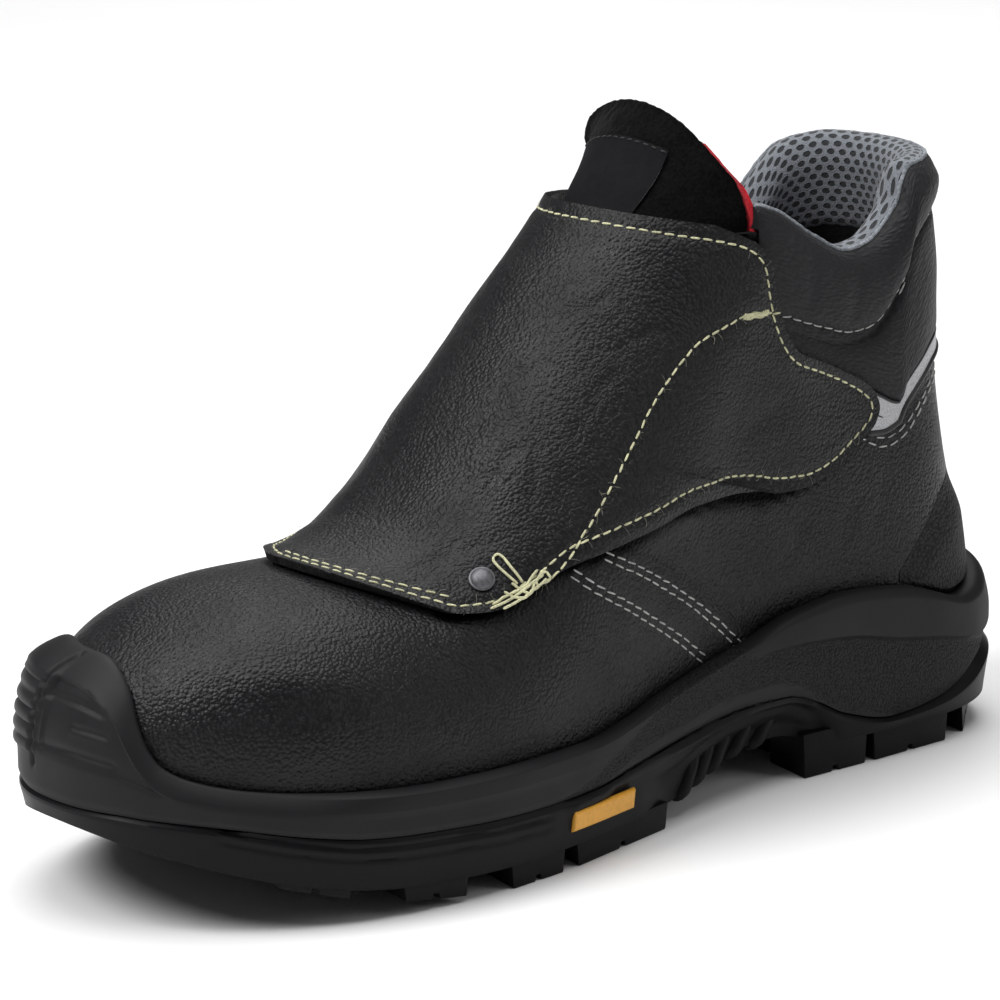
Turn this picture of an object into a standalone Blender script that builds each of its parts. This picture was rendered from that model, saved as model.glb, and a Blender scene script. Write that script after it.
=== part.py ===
"""Welder's ankle safety boot, left foot: hollow upper on a cup midsole and a lugged outsole.

All sizes are in millimetres and become metres when a mesh is made. "Along" runs from the back of the
sole (0) to the toe, "height" up from the floor, lateral is the outer side of the foot (+Y).
The toe points to +X and the origin is under the middle of the boot, on the floor.
"""
import bmesh
import bpy
import numpy as np
from mathutils import Matrix, Vector

MM = 0.001

# Driving sizes of the boot
MIDDLE_ALONG = 152.65
MIDDLE_ACROSS = -0.43
TOE_TIP = 300.5
TOE_REACH = 63.0
HEEL_END = 50.0
SHAFT_FROM, SHAFT_TO = 50.0, 115.0
LEATHER = 2.0
FLAP_LEATHER = 2.2
TONGUE_THICK = 3.2
INSOLE_THICK, INSOLE_CLEAR = 4.0, 0.5
SOLE_GROW = 5.5
GAP = 0.35
WELD = 0.02
LATERAL, MEDIAL = 1, -1

# Steps of the facets round the heel, along the side and round the toe, with closer ones at the ankle
HEEL_TURNS, SIDE_STEPS, TOE_TURNS = 6, 15, 9
ANKLE_TURNS = (0.91, 0.955, 1.035)
UPPER_ROWS, CUP_ROWS = 11, 5


class Table:
    """Rows of sizes with named columns, read by a smooth curve through one column."""

    def __init__(self, columns, *rows):
        values = np.array(rows, float).T
        self.key = values[0]
        self.columns = dict(zip(columns[1:], values[1:]))

    def read(self, column, where):
        x = self.key
        y = self.columns[column]
        step = np.diff(x)
        slope = np.diff(y) / step
        before, after = slope[:-1], slope[1:]
        turns = before * after <= 0
        near, far = 2 * step[1:] + step[:-1], step[1:] + 2 * step[:-1]
        safe = [np.where(turns, 1.0, part) for part in (before, after)]
        mean = (near + far) / (near / safe[0] + far / safe[1])
        tangent = np.concatenate(([slope[0]], np.where(turns, 0.0, mean), [slope[-1]]))
        where = np.clip(where, x[0], x[-1])
        i = np.clip(np.searchsorted(x, where) - 1, 0, len(x) - 2)
        t = (where - x[i]) / step[i]
        rise = step[i] * (tangent[i] * t * (1 - t) ** 2 - tangent[i + 1] * t ** 2 * (1 - t))
        return y[i] * (1 + 2 * t) * (1 - t) ** 2 + y[i + 1] * t ** 2 * (3 - 2 * t) + rise


# Half widths of the last from its centre line, at the foot and up in the shaft
PLAN = Table(
    ("along", "lateral", "medial", "centre", "shaft_lateral", "shaft_medial"),
    (0, 36.5, 34.5, 0, 33, 32),
    (60, 36.5, 34.5, 0, 33, 32),
    (90, 36, 32.5, 0, 34, 32),
    (115, 37, 31.5, 0, 35.5, 32.5),
    (140, 40.5, 33.5, 0, 40, 34.5),
    (165, 45.5, 38.5, 0, 45.5, 38.5),
    (190, 49.5, 43.5, 0, 49.5, 43.5),
    (215, 51.5, 47, -1, 51.5, 47),
    (238, 50.5, 49, -2.5, 50.5, 49),
    (265, 48.5, 46.5, -5, 48.5, 46.5),
    (288, 46, 43, -7, 46, 43),
    (306, 42, 38, -8, 42, 38),
)
# Height of the ridge over toe and instep, how far below it the wall starts to bend over, and how squarely
PROFILE = Table(
    ("along", "ridge", "shoulder", "square"),
    (0, 270, 62, 2.3),
    (50, 262, 62, 2.3),
    (85, 228, 62, 2.2),
    (100, 208, 62, 2.0),
    (112, 190.5, 62, 2.0),
    (120, 179, 63, 2.0),
    (131, 164.5, 66, 2.0),
    (157, 136.5, 70, 2.0),
    (182, 108, 64, 2.05),
    (195, 93, 56, 2.1),
    (209, 82, 46, 2.15),
    (225, 78, 41, 2.2),
    (237.5, 77.7, 38, 2.25),
    (306, 77.7, 38, 2.25),
)
# Back line of the heel, from the sole up to the collar, and how squarely the heel turns there
BACK = Table(
    ("height", "along", "square"),
    (0, 5.5, 2.7),
    (33, 5.5, 2.7),
    (45, 6.8, 2.5),
    (60, 9.3, 2.4),
    (80, 13, 2.25),
    (105, 16, 2.1),
    (130, 17.5, 1.98),
    (147, 19, 1.98),
    (165, 20.5, 1.98),
)
# Heights of the sole: underside between the lugs, split of outsole and midsole, step in the midsole's wall
# and how far it swells above that, rim against the leather, floor of the cup, and tuck of the arch's wall
SOLE = Table(
    ("along", "base", "split", "step", "swell", "rim", "floor", "tuck"),
    (0, 10, 27, 33, 0.8, 47, 32, 0),
    (7, 8.5, 25.5, 31, 1.0, 45, 32, 0),
    (12, 8, 23.5, 29, 1.2, 43, 32, 0),
    (18, 8, 20.5, 27.5, 1.2, 41, 32, 0),
    (25, 8, 17, 28, 1.2, 40.5, 32, 0),
    (39, 8, 13, 31, 1.2, 44.5, 32, 0),
    (56, 8, 11.5, 34, 1.2, 48.5, 32, 0),
    (75, 8.5, 16, 38, 1.2, 50, 31.8, 0),
    (86, 10.5, 21.5, 39, 1.2, 49, 31.6, 2.5),
    (97, 12.5, 25, 39.5, 1.0, 47.3, 31.3, 4.5),
    (111, 12, 25.5, 39.5, 0.5, 43.3, 31, 5),
    (125, 9, 25, 36, 0.1, 40.7, 30, 4.5),
    (142, 5.5, 23.5, 31.5, 0, 37.8, 28.5, 2.5),
    (160, 6, 21.5, 28.5, 0, 34.2, 26.5, 0),
    (177, 6, 19.6, 26.5, 0, 32, 24.8, 0),
    (196, 6, 19.5, 26.5, 0, 32.2, 24, 0),
    (229, 6.5, 20.5, 27, 0, 32.6, 23.8, 0),
    (251, 8.5, 22, 28.5, 0, 33.8, 25, 0),
    (267, 11.5, 24.5, 30.5, 0, 35.2, 27.5, 0),
    (282, 15.5, 27.5, 33, 0, 37.3, 30.5, 0),
    (291, 18.5, 28.8, 34.5, 0, 39.8, 32.5, 0),
    (295.5, 20, 29.3, 36, 0, 42.8, 33.2, 0),
    (297.5, 20.8, 29.5, 37, 0, 46.2, 33.5, 0),
    (299.5, 21.8, 29.8, 38, 0, 51.6, 33.8, 0),
    (302, 23, 30, 39, 0, 58.8, 34.2, 0),
    (306, 25, 30, 40, 0, 65.5, 34.5, 0),
)
# Collar along the boot: top of the roll on each side, sewn pinch line, lower edge of the pad, and puff of its
# two swells
COLLAR = Table(
    ("along", "top", "medial_top", "pinch", "low", "upper_puff", "lower_puff"),
    (12, 164, 164, 150, 121, 2.0, 1.8),
    (25, 164, 160.5, 148, 118, 2.2, 1.6),
    (38, 163.5, 152, 143, 110, 3.2, 2.0),
    (46, 159, 147, 136, 102, 4.2, 2.4),
    (54, 150, 144, 125.5, 100, 4.4, 2.6),
    (62, 144.5, 143, 120, 105, 4.2, 2.2),
    (69, 143.5, 143.5, 119.5, 106.5, 4.0, 1.6),
    (82, 149, 149, 123, 108, 3.2, 1.2),
    (96, 157.5, 157, 128, 114, 2.0, 1.2),
    (104, 162, 161, 130.5, 120, 1.8, 1.2),
)
COLLAR_FRONT = 104.0
COLLAR_ROLL = 9.0
COLLAR_INSIDE = 34.0
COLLAR_EASE = 0.15

# Half width of the lacing throat, closed at its front end under the flap
THROAT = Table(
    ("along", "half"),
    (104, 26), (125, 23), (160, 20), (185, 16), (194, 10), (198, 0),
)
THROAT_END = 198.0

# Flap over the laces, from its front hem (0) to its top hem (1): crest on the ridge, lateral and medial edge,
# and how far it stands off the leather along the crest and along the lateral edge
FLAP = Table(
    ("run", "crest", "along", "height", "medial_along", "medial_height", "crest_off", "edge_off"),
    (0.00, 231.5, 204, 70.5, 204, 68, 1.0, 0.7),
    (0.09, 227, 190.5, 74, 194, 71, 1.0, 0.8),
    (0.20, 214, 167, 80.8, 178, 78, 1.4, 2.0),
    (0.31, 196, 136.4, 86.4, 160, 88, 2.4, 3.4),
    (0.41, 186, 112, 85.6, 150, 95, 3.3, 3.6),
    (0.49, 180, 90, 82.4, 142, 101, 3.3, 2.6),
    (0.57, 172, 69.5, 90, 135, 108, 3.3, 2.0),
    (0.63, 164, 60.4, 99.5, 129, 115, 3.3, 2.0),
    (0.69, 160, 70.5, 109.6, 124, 121, 3.3, 2.6),
    (0.77, 156, 92.6, 119.6, 119, 128, 3.2, 2.6),
    (0.86, 151, 101.6, 137.7, 113, 139, 3.0, 2.6),
    (0.94, 143.5, 103.8, 150.5, 109, 149, 2.8, 2.6),
    (1.00, 138.8, 107.6, 154.8, 108, 155, 2.6, 2.6),
)
FLAP_ROWS, FLAP_STEPS = 24, 7

# Tongue from its front end under the flap (0) to its top (1): crest on the ridge and both edges alike
TONGUE = Table(
    ("run", "crest", "along", "height", "off"),
    (0.00, 197, 190, 88, -2.8),
    (0.25, 170, 160, 106, -2.8),
    (0.50, 145, 131, 126, -3.1),
    (0.65, 131, 114, 143, -3.2),
    (0.76, 124, 107, 154, -2.8),
    (0.87, 119.5, 108.3, 164.5, -1.6),
    (0.95, 116.5, 110.5, 171.5, -1.2),
    (1.00, 115.2, 113, 177.5, -1.0),
)
TONGUE_ROWS, TONGUE_STEPS = 12, 6
# Above the flap the tongue's medial half stands out further
TONGUE_FLARE, TONGUE_FLARE_FROM = 4.0, 0.72

# Plain woven label on the tongue, measured on the tongue's own run and from crest to edge
LABEL_RUN = (0.56, 0.823)
LABEL_SPAN = (-0.60, 0.38)
LABEL_THICK = 0.8

# Heel counter: height of its top edge, thick at the back and thin at its slanted ends
COUNTER = Table(
    ("along", "top", "grow"),
    (0, 73.5, 2.3), (20, 73, 2.2), (33, 69.6, 2.1), (42.4, 61.6, 2.0), (46.7, 56.7, 1.9), (51, 50.3, 1.8),
)
COUNTER_LIP = 1.0

# Reflective chevron under the collar: its lower and upper edge, widest in front where the flap's tab meets it
CHEVRON = Table(
    ("along", "low", "high"),
    (12, 116.6, 120.4), (24, 113.6, 117.4), (33.4, 109.5, 113.4), (39.5, 104.3, 108.5), (43.7, 99.5, 104),
    (50, 93, 97.6), (56.6, 91.6, 101), (63, 92.5, 104.5),
)
CHEVRON_THICK, CHEVRON_CLEAR = 0.8, 0.7

# Tab sewn over the middle of the collar's back, above the chevron
TAB_LOW, TAB_HIGH, TAB_THICK = 124.0, 150.0, 1.6

RIVET_ALONG, RIVET_HEIGHT = 202.1, 77.2
RIVET_RADIUS, RIVET_RISE, RIVET_SEAT = 3.3, 1.5, 1.45

# Lugs along the edge of the sole (from, to), and bars across its middle (from, to)
EDGE_LUGS = ((4, 26), (34, 55), (65, 89), (146, 174), (189, 207), (222, 240), (255, 271))
MIDDLE_LUGS = ((14, 24), (38, 50), (66, 80), (154, 168), (186, 200), (216, 230), (246, 258))
LUG_INSET, LUG_DEEP, LUG_GAP, LUG_DRAFT = 1.6, 17.0, 6.0, 0.8
LUG_ROOT, LUG_SLANT = 1.5, 3.0
# Height of the tread above the floor, which the toe lifts off
TREAD = Table(
    ("along", "height"), (0, 0), (206, 0), (222, 1.5), (240, 3.6), (255, 7), (271, 11.5), (300, 22))

# Slanted fins that hang from the arch's lateral and medial edge
ARCH_FINS = (105, 114, 123, 130, 137)
FIN_THICK, FIN_LEAN, FIN_TALL, FIN_DROP, FIN_OUT, FIN_SUNK = 5.0, -6.5, 10.0, 1.6, 1.7, 5.0
# How far the heel's wall stands out below the midsole, dying out at the arch
HEEL_FLARE, FLARE_FROM, FLARE_TO = 1.6, 25.0, 90.0
# Outsole's wall: how far it is set in at three shares of its height, and the chamfer at its top
WALL_INSET, WALL_SHARE = (1.6, 1.0, 0.2), (0.0, 0.35, 0.75)
WALL_CHAMFER_SHARE, WALL_CHAMFER, TUCK_SHARE = 0.9, 1.1, 0.35

# Raised ribbed band up the toe bumper, from and to on the turn round the medial half of the toe
TOE_BAND_FROM, TOE_BAND_TO, TOE_BAND_EDGE = 2.54, 2.94, 0.012
TOE_BAND_RISE, TOE_RIB_CUT = 1.1, 0.9
BUMPER_CLEAR, BUMPER_FROM, BUMPER_TO = 0.7, 2.2, 2.4
# Midsole's wall: height of the step's bevel, inset of its foot, and inset of the rounded rim
STEP_BEVEL, CUP_FOOT_INSET, RIM_INSET, RIM_ROUND = 0.7, 0.8, 2.0, 0.3
# Rim of the bumper on the medial side, where it reaches further back
MEDIAL_RIM = Table(
    ("along", "height"),
    (251, 33.8), (262, 36), (270, 38.5), (277, 43), (281, 49), (286, 57), (292, 62.5), (300, 65), (306, 65.5),
)

# Plain amber bar on the outsole's lateral wall
BADGE_FROM, BADGE_TO, BADGE_LOW, BADGE_HIGH, BADGE_THICK = 162.0, 187.0, 10.6, 16.4, 1.0


def smoothstep(low, high, x):
    t = np.clip((x - low) / (high - low), 0, 1)
    return t * t * (3 - 2 * t)


def width(s, z, side, grow):
    """Half width of the last before toe, heel and ridge bend it in."""
    names = ("lateral", "shaft_lateral") if side > 0 else ("medial", "shaft_medial")
    low, high = (PLAN.read(name, s) for name in names)
    return low + (high - low) * smoothstep(SHAFT_FROM, SHAFT_TO, z) + grow


def bend_in(s, z, grow):
    """How far the wall at a height has bent over towards the ridge, 0 to 1."""
    shoulder = PROFILE.read("shoulder", s)
    spring = PROFILE.read("ridge", s) - shoulder
    return np.clip((z - spring) / (shoulder + grow), 0, 1)


def half_width(s, z, side, grow=0.0):
    """Half width of the boot's form, grown by an even margin, at a place along it and a height."""
    p = PROFILE.read("square", s)
    toe = np.clip((s - TOE_TIP + TOE_REACH) / (TOE_REACH + grow), 0, 1)
    heel = np.clip((HEEL_END - s) / (HEEL_END - BACK.read("along", z) + grow), 0, 1)
    left = 1 - toe ** p - bend_in(s, z, grow) ** p - heel ** BACK.read("square", z)
    return width(s, z, side, grow) * np.clip(left, 0, 1) ** (1 / p)


def across(s, z, side, grow=0.0):
    return np.array([s, PLAN.read("centre", s) + side * half_width(s, z, side, grow), z])


def form(u, z, side, grow=0.0):
    """Point of the form: u runs 0 to 1 round the heel, to 2 along the side and to 3 round the toe."""
    if 1 <= u <= 2:
        return across(HEEL_END + (TOE_TIP - TOE_REACH - HEEL_END) * (u - 1), z, side, grow)
    if u < 1:
        p = BACK.read("square", z)
        turn = (1 - u) * np.pi / 2
        s = HEEL_END - (HEEL_END - BACK.read("along", z) + grow) * np.sin(turn) ** (2 / p)
        shrink = 1.0
    else:
        p = PROFILE.read("square", TOE_TIP)
        turn = (u - 2) * np.pi / 2
        shrink = (1 - bend_in(TOE_TIP, z, grow) ** p) ** (1 / p)
        s = TOE_TIP - TOE_REACH + (TOE_REACH + grow) * shrink * np.sin(turn) ** (2 / p)
    y = width(s, z, side, grow) * shrink * max(np.cos(turn), 0.0) ** (2 / p)
    return np.array([s, PLAN.read("centre", s) + side * y, z])


def column_places():
    """The u of every facet edge, shared by sole, upper and insole so that their facets stay parallel."""
    heel = [k / HEEL_TURNS for k in range(HEEL_TURNS)]
    side = [1 + k / SIDE_STEPS for k in range(SIDE_STEPS)]
    toe = [2 + k / TOE_TURNS for k in range(TOE_TURNS + 1)]
    band = []
    for place in (TOE_BAND_FROM, TOE_BAND_TO):
        band += [place - TOE_BAND_EDGE, place + TOE_BAND_EDGE]
    return sorted(heel + list(ANKLE_TURNS) + side + toe + band)


COLUMNS = column_places()
FOOT = 30.0


def place_along(u):
    """Where a column stands along the sole's own outline, and along the leather's."""
    return form(u, FOOT, LATERAL, SOLE_GROW)[0], form(u, FOOT, LATERAL)[0]


# Making of meshes

def material(name, colour, roughness, metallic=0.0):
    made = bpy.data.materials.new(name)
    made.use_nodes = True
    shader = made.node_tree.nodes["Principled BSDF"]
    shader.inputs["Base Color"].default_value = (*colour, 1.0)
    shader.inputs["Roughness"].default_value = roughness
    shader.inputs["Metallic"].default_value = metallic
    return made


def to_scene(point):
    return Vector(((point[0] - MIDDLE_ALONG) * MM, (point[1] - MIDDLE_ACROSS) * MM, point[2] * MM))


def patch(bm, grid):
    """Adds a grid of points as quads."""
    verts = [[bm.verts.new(to_scene(point)) for point in row] for row in grid]
    for upper, lower in zip(verts, verts[1:]):
        for k in range(len(upper) - 1):
            bm.faces.new((upper[k], upper[k + 1], lower[k + 1], lower[k]))


def finish(bm, name, finish_material):
    """Welds the patches into one closed body, faces out, and puts it in the scene."""
    bmesh.ops.remove_doubles(bm, verts=bm.verts, dist=WELD * MM)
    bmesh.ops.dissolve_degenerate(bm, edges=bm.edges, dist=WELD * MM)
    bmesh.ops.triangulate(bm, faces=bm.faces)
    bmesh.ops.recalc_face_normals(bm, faces=bm.faces)
    mesh = bpy.data.meshes.new(name)
    bm.to_mesh(mesh)
    bm.free()
    mesh.shade_smooth()
    mesh.set_sharp_from_angle(angle=np.radians(40))
    mesh.materials.append(finish_material)
    made = bpy.data.objects.new(name, mesh)
    bpy.context.scene.collection.objects.link(made)
    return made


def wall(bm, outer, inner):
    """Closes two matching grids into a sheet with four edges."""
    patch(bm, outer)
    patch(bm, inner)
    for edge in (0, -1):
        patch(bm, [outer[edge], inner[edge]])
        patch(bm, [[row[edge] for row in outer], [row[edge] for row in inner]])


def sweep(bm, sections):
    """Joins closed rings of points and caps both ends."""
    closed = [list(ring) + [ring[0]] for ring in sections]
    patch(bm, closed)
    for ring in (sections[0], sections[-1]):
        bm.faces.new([bm.verts.new(to_scene(point)) for point in ring])


# Sole

def sole_grow(s):
    """Margin of the outsole's wall, which flares round the heel."""
    return SOLE_GROW + HEEL_FLARE * (1 - smoothstep(FLARE_FROM, FLARE_TO, s))


def outsole_rings(side):
    """Profiles of the outsole's wall, from the underside up to the split, one for each column."""
    rings = []
    for u in COLUMNS:
        s = place_along(u)[0]
        base, split, tuck = (SOLE.read(name, s) for name in ("base", "split", "tuck"))
        low, middle, high = (sole_grow(s) - inset for inset in WALL_INSET)
        levels = [base + (split - base) * share for share in WALL_SHARE + (WALL_CHAMFER_SHARE,)]
        profile = (
            (low - tuck, levels[0]),
            (middle - tuck, levels[1]),
            (high - TUCK_SHARE * tuck, levels[2]),
            (SOLE_GROW - WALL_INSET[2], levels[3]),
            (SOLE_GROW - WALL_CHAMFER, split),
        )
        rings.append([form(u, z, side, grow) for grow, z in profile])
    return rings


def lug(bm, corners, top):
    """A block that narrows to its tread face; corners run round it at the tread."""
    middle = np.mean(corners, axis=0)
    foot = [np.array(corner) for corner in corners]
    root = []
    for corner in foot:
        away = corner - middle
        spread = away / np.linalg.norm(away[:2]) * LUG_DRAFT
        root.append(np.array([corner[0] + spread[0], corner[1] + spread[1], top]))
    sweep(bm, [foot, root])


def tread_point(s, y):
    return np.array([s, y, TREAD.read("height", s)])


def edge_lug(bm, side, start, end):
    def outer(s):
        return across(s, SOLE.read("base", s), side, sole_grow(s) - LUG_INSET - LUG_DRAFT)[1]

    top = min(SOLE.read("base", start), SOLE.read("base", end)) + LUG_ROOT
    corners = [
        tread_point(start, outer(start)),
        tread_point(end, outer(end)),
        tread_point(end - LUG_SLANT, outer(end) - side * LUG_DEEP),
        tread_point(start + LUG_SLANT, outer(start) - side * LUG_DEEP),
    ]
    lug(bm, corners, top)


def middle_lug(bm, start, end):
    reach = {}
    for side in (LATERAL, MEDIAL):
        edge = across(start, SOLE.read("base", start), side, SOLE_GROW - LUG_INSET)[1]
        reach[side] = edge - side * (LUG_DEEP + LUG_GAP + LUG_DRAFT)
    top = min(SOLE.read("base", start), SOLE.read("base", end)) + LUG_ROOT
    corners = [
        tread_point(start, reach[LATERAL]),
        tread_point(end, reach[LATERAL]),
        tread_point(end, reach[MEDIAL]),
        tread_point(start, reach[MEDIAL]),
    ]
    lug(bm, corners, top)


def arch_fin(bm, side, start):
    """A finger that leans up the tucked wall of the arch and hangs a little below it."""
    rings = []
    low = SOLE.read("base", start) - FIN_DROP
    for s, z in ((start, low), (start + FIN_LEAN, low + FIN_TALL)):
        tuck = SOLE.read("tuck", s)
        rings.append([
            across(place, z, side, SOLE_GROW - WALL_INSET[1] - tuck + out)
            for place, out in (
                (s - FIN_THICK / 2, -FIN_SUNK), (s + FIN_THICK / 2, -FIN_SUNK),
                (s + FIN_THICK / 4, FIN_OUT), (s - FIN_THICK / 4, FIN_OUT),
            )
        ])
    sweep(bm, rings)


def outsole(rubber):
    bm = bmesh.new()
    sides = {side: outsole_rings(side) for side in (LATERAL, MEDIAL)}
    for rings in sides.values():
        patch(bm, rings)
    for row in (0, -1):
        patch(bm, [[rings[row] for rings in sides[side]] for side in (LATERAL, MEDIAL)])
    body = finish(bm, "outsole", rubber)

    tread = bmesh.new()
    for side in (LATERAL, MEDIAL):
        for start, end in EDGE_LUGS:
            edge_lug(tread, side, start, end)
        for start in ARCH_FINS:
            arch_fin(tread, side, start)
    for start, end in MIDDLE_LUGS:
        middle_lug(tread, start, end)
    blocks = finish(tread, "tread_blocks", rubber)
    blocks.hide_render = True
    blocks.display_type = "WIRE"

    join = body.modifiers.new("tread", "BOOLEAN")
    join.operation = "UNION"
    join.object = blocks
    return body


def rim_height(s, side):
    if side == MEDIAL and s > MEDIAL_RIM.key[0]:
        return MEDIAL_RIM.read("height", s)
    return SOLE.read("rim", s)


def midsole_rings(side):
    """Profiles of the cup: up the outer wall, over the rim and down inside to the floor."""
    rings = []
    for u in COLUMNS:
        s = place_along(u)[0]
        split, step, swell, floor = (SOLE.read(name, s) for name in ("split", "step", "swell", "floor"))
        rim = rim_height(s, side)
        on_band = side == MEDIAL and TOE_BAND_FROM < u < TOE_BAND_TO
        band = TOE_BAND_RISE * on_band
        rib = TOE_RIB_CUT * on_band
        low = step + STEP_BEVEL
        clear = GAP + BUMPER_CLEAR * smoothstep(BUMPER_FROM, BUMPER_TO, u)

        def up(part):
            return low + (rim - low) * part

        profile = (
            (SOLE_GROW - CUP_FOOT_INSET, split + GAP),
            (SOLE_GROW, split + GAP + 0.2 * (step - split)),
            (SOLE_GROW - 0.6 * swell, step - STEP_BEVEL),
            (SOLE_GROW + swell + band, low),
            (SOLE_GROW + swell + band - rib, up(0.2)),
            (SOLE_GROW + swell + band, up(0.4)),
            (SOLE_GROW + swell + band - rib, up(0.6)),
            (SOLE_GROW + 0.5 * swell + band - RIM_ROUND, up(0.8)),
            (SOLE_GROW + band - RIM_INSET, rim),
        ) + tuple((clear, z) for z in np.linspace(rim - RIM_ROUND, floor, CUP_ROWS))
        rings.append([form(u, z, side, grow) for grow, z in profile])
    return rings


def midsole(rubber):
    bm = bmesh.new()
    sides = {side: midsole_rings(side) for side in (LATERAL, MEDIAL)}
    for rings in sides.values():
        patch(bm, rings)
    for row in (0, -1):
        patch(bm, [[rings[row] for rings in sides[side]] for side in (LATERAL, MEDIAL)])
    return finish(bm, "midsole", rubber)


def insole(felt):
    """Footbed on the floor of the cup, inside the leather."""
    bm = bmesh.new()
    grow = -LEATHER - INSOLE_CLEAR
    levels = []
    for rise in (GAP, GAP + INSOLE_THICK):
        levels.append({
            side: [form(u, SOLE.read("floor", place_along(u)[0]) + rise, side, grow) for u in COLUMNS]
            for side in (LATERAL, MEDIAL)
        })
    for level in levels:
        patch(bm, [level[LATERAL], level[MEDIAL]])
    for side in (LATERAL, MEDIAL):
        patch(bm, [level[side] for level in levels])
    return finish(bm, "insole", felt)


# Upper

def throat_height(s, side):
    """Height on the form where it is as wide as the lacing throat."""
    p = PROFILE.read("square", s)
    shoulder = PROFILE.read("shoulder", s)
    share = np.clip(THROAT.read("half", s) / width(s, SHAFT_TO, side, 0.0), 0, 1)
    return PROFILE.read("ridge", s) - shoulder + shoulder * (1 - share ** p) ** (1 / p)


def collar_top(s, side):
    return COLLAR.read("top" if side == LATERAL else "medial_top", s)


def upper_top(s, side, grow):
    """Top of the leather: under the collar's roll, along the throat, or closed over the ridge."""
    if s >= THROAT_END:
        return PROFILE.read("ridge", s) + grow
    throat = throat_height(s, side) if s > COLLAR_FRONT else np.inf
    return min(collar_top(s, side) - COLLAR_ROLL, throat)


def upper_grid(side, grow):
    grid = []
    for u in COLUMNS:
        sole_s, s = place_along(u)
        low = SOLE.read("floor", sole_s) + GAP
        high = upper_top(s, side, grow)
        ease = 1 + (PROFILE.read("square", s) - 1) * smoothstep(COLLAR_FRONT, THROAT_END, s)
        rows = [low + (high - low) * (1 - (1 - k / UPPER_ROWS) ** ease) for k in range(UPPER_ROWS + 1)]
        grid.append([form(u, z, side, grow) for z in rows])
    return grid


def upper(leather):
    bm = bmesh.new()
    open_columns = 1 + sum(place_along(u)[1] < THROAT_END for u in COLUMNS)
    for side in (LATERAL, MEDIAL):
        outer = upper_grid(side, 0.0)
        inner = upper_grid(side, -LEATHER)
        patch(bm, outer)
        patch(bm, inner)
        patch(bm, [[column[0] for column in grid] for grid in (outer, inner)])
        patch(bm, [[column[-1] for column in grid[:open_columns]] for grid in (outer, inner)])
    return finish(bm, "upper", leather)


def collar_profile(s, side):
    """Section of the padded collar: up the outside, over the roll and down inside, then round its slot."""
    top = collar_top(s, side)
    pinch, low, upper_puff, lower_puff = (
        COLLAR.read(name, s) for name in ("pinch", "low", "upper_puff", "lower_puff"))
    if s < CHEVRON.key[-1]:
        low = CHEVRON.read("high", s) + CHEVRON_CLEAR
    slot = top - COLLAR_ROLL + 2 * GAP
    hug = GAP + COLLAR_EASE
    return (
        (hug, low),
        (0.8 * lower_puff, low + 2),
        (lower_puff, 0.5 * (low + pinch)),
        (0.7 * lower_puff, pinch - 3),
        (0.9, pinch),
        (0.75 * upper_puff, pinch + 4),
        (upper_puff, 0.45 * pinch + 0.55 * top),
        (0.7 * upper_puff, top - 4),
        (0.0, top - 0.6),
        (-4.0, top),
        (-8.0, top - 2.5),
        (-9.5, top - 9),
        (-7.5, top - 0.7 * COLLAR_INSIDE),
        (-LEATHER - hug, top - COLLAR_INSIDE),
        (-LEATHER - hug, top - 0.6 * COLLAR_INSIDE),
        (-LEATHER - hug, slot),
        (hug, slot),
        (hug, 0.5 * (slot + low)),
    )


def collar_ring(u, side):
    return [form(u, z, side, grow) for grow, z in collar_profile(place_along(u)[1], side)]


def collar_columns():
    end = 1 + (COLLAR_FRONT - HEEL_END) / (TOE_TIP - TOE_REACH - HEEL_END)
    return [u for u in COLUMNS if u < end] + [end]


def collar(pad):
    bm = bmesh.new()
    columns = collar_columns()
    rings = [collar_ring(u, MEDIAL) for u in reversed(columns[1:])]
    rings += [collar_ring(u, LATERAL) for u in columns]
    sweep(bm, rings)
    return finish(bm, "collar", pad)


def sheet_point(table, run, span, grow):
    """Point of a sheet laid over the ridge: span runs from the medial edge (-1) to the lateral edge (1)."""
    side = LATERAL if span >= 0 else MEDIAL
    crest = table.read("crest", run)
    prefix = "medial_" if side < 0 and "medial_along" in table.columns else ""
    edge = np.array([table.read(prefix + "along", run), table.read(prefix + "height", run)])
    top = np.array([crest, PROFILE.read("ridge", crest) + grow])
    s, z = top + (edge - top) * span * span
    return across(s, z, side, grow)


def flap_off(run, span):
    crest, edge = FLAP.read("crest_off", run), FLAP.read("edge_off", run)
    return crest + (edge - crest) * smoothstep(0.5, 1.0, abs(span))


def flap(leather):
    """Spark flap that covers the laces and closes with a tab on the lateral side."""
    runs = [k / FLAP_ROWS for k in range(FLAP_ROWS + 1)]
    spans = [k / FLAP_STEPS for k in range(-FLAP_STEPS, FLAP_STEPS + 1)]
    inner = [[sheet_point(FLAP, run, span, flap_off(run, span)) for span in spans] for run in runs]
    outer = [
        [sheet_point(FLAP, run, span, flap_off(run, span) + FLAP_LEATHER) for span in spans] for run in runs]
    bm = bmesh.new()
    wall(bm, outer, inner)
    return finish(bm, "flap", leather)


def tongue_off(run, span):
    flare = TONGUE_FLARE * smoothstep(TONGUE_FLARE_FROM, 1.0, run) * min(span, 0.0) ** 2
    return TONGUE.read("off", run) + flare


def tongue(suede):
    runs = [k / TONGUE_ROWS for k in range(TONGUE_ROWS + 1)]
    spans = [k / TONGUE_STEPS for k in range(-TONGUE_STEPS, TONGUE_STEPS + 1)]
    faces = []
    for sunk in (0.0, TONGUE_THICK):
        faces.append([
            [sheet_point(TONGUE, run, span, tongue_off(run, span) - sunk) for span in spans] for run in runs])
    bm = bmesh.new()
    wall(bm, *faces)
    return finish(bm, "tongue", suede)


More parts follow.
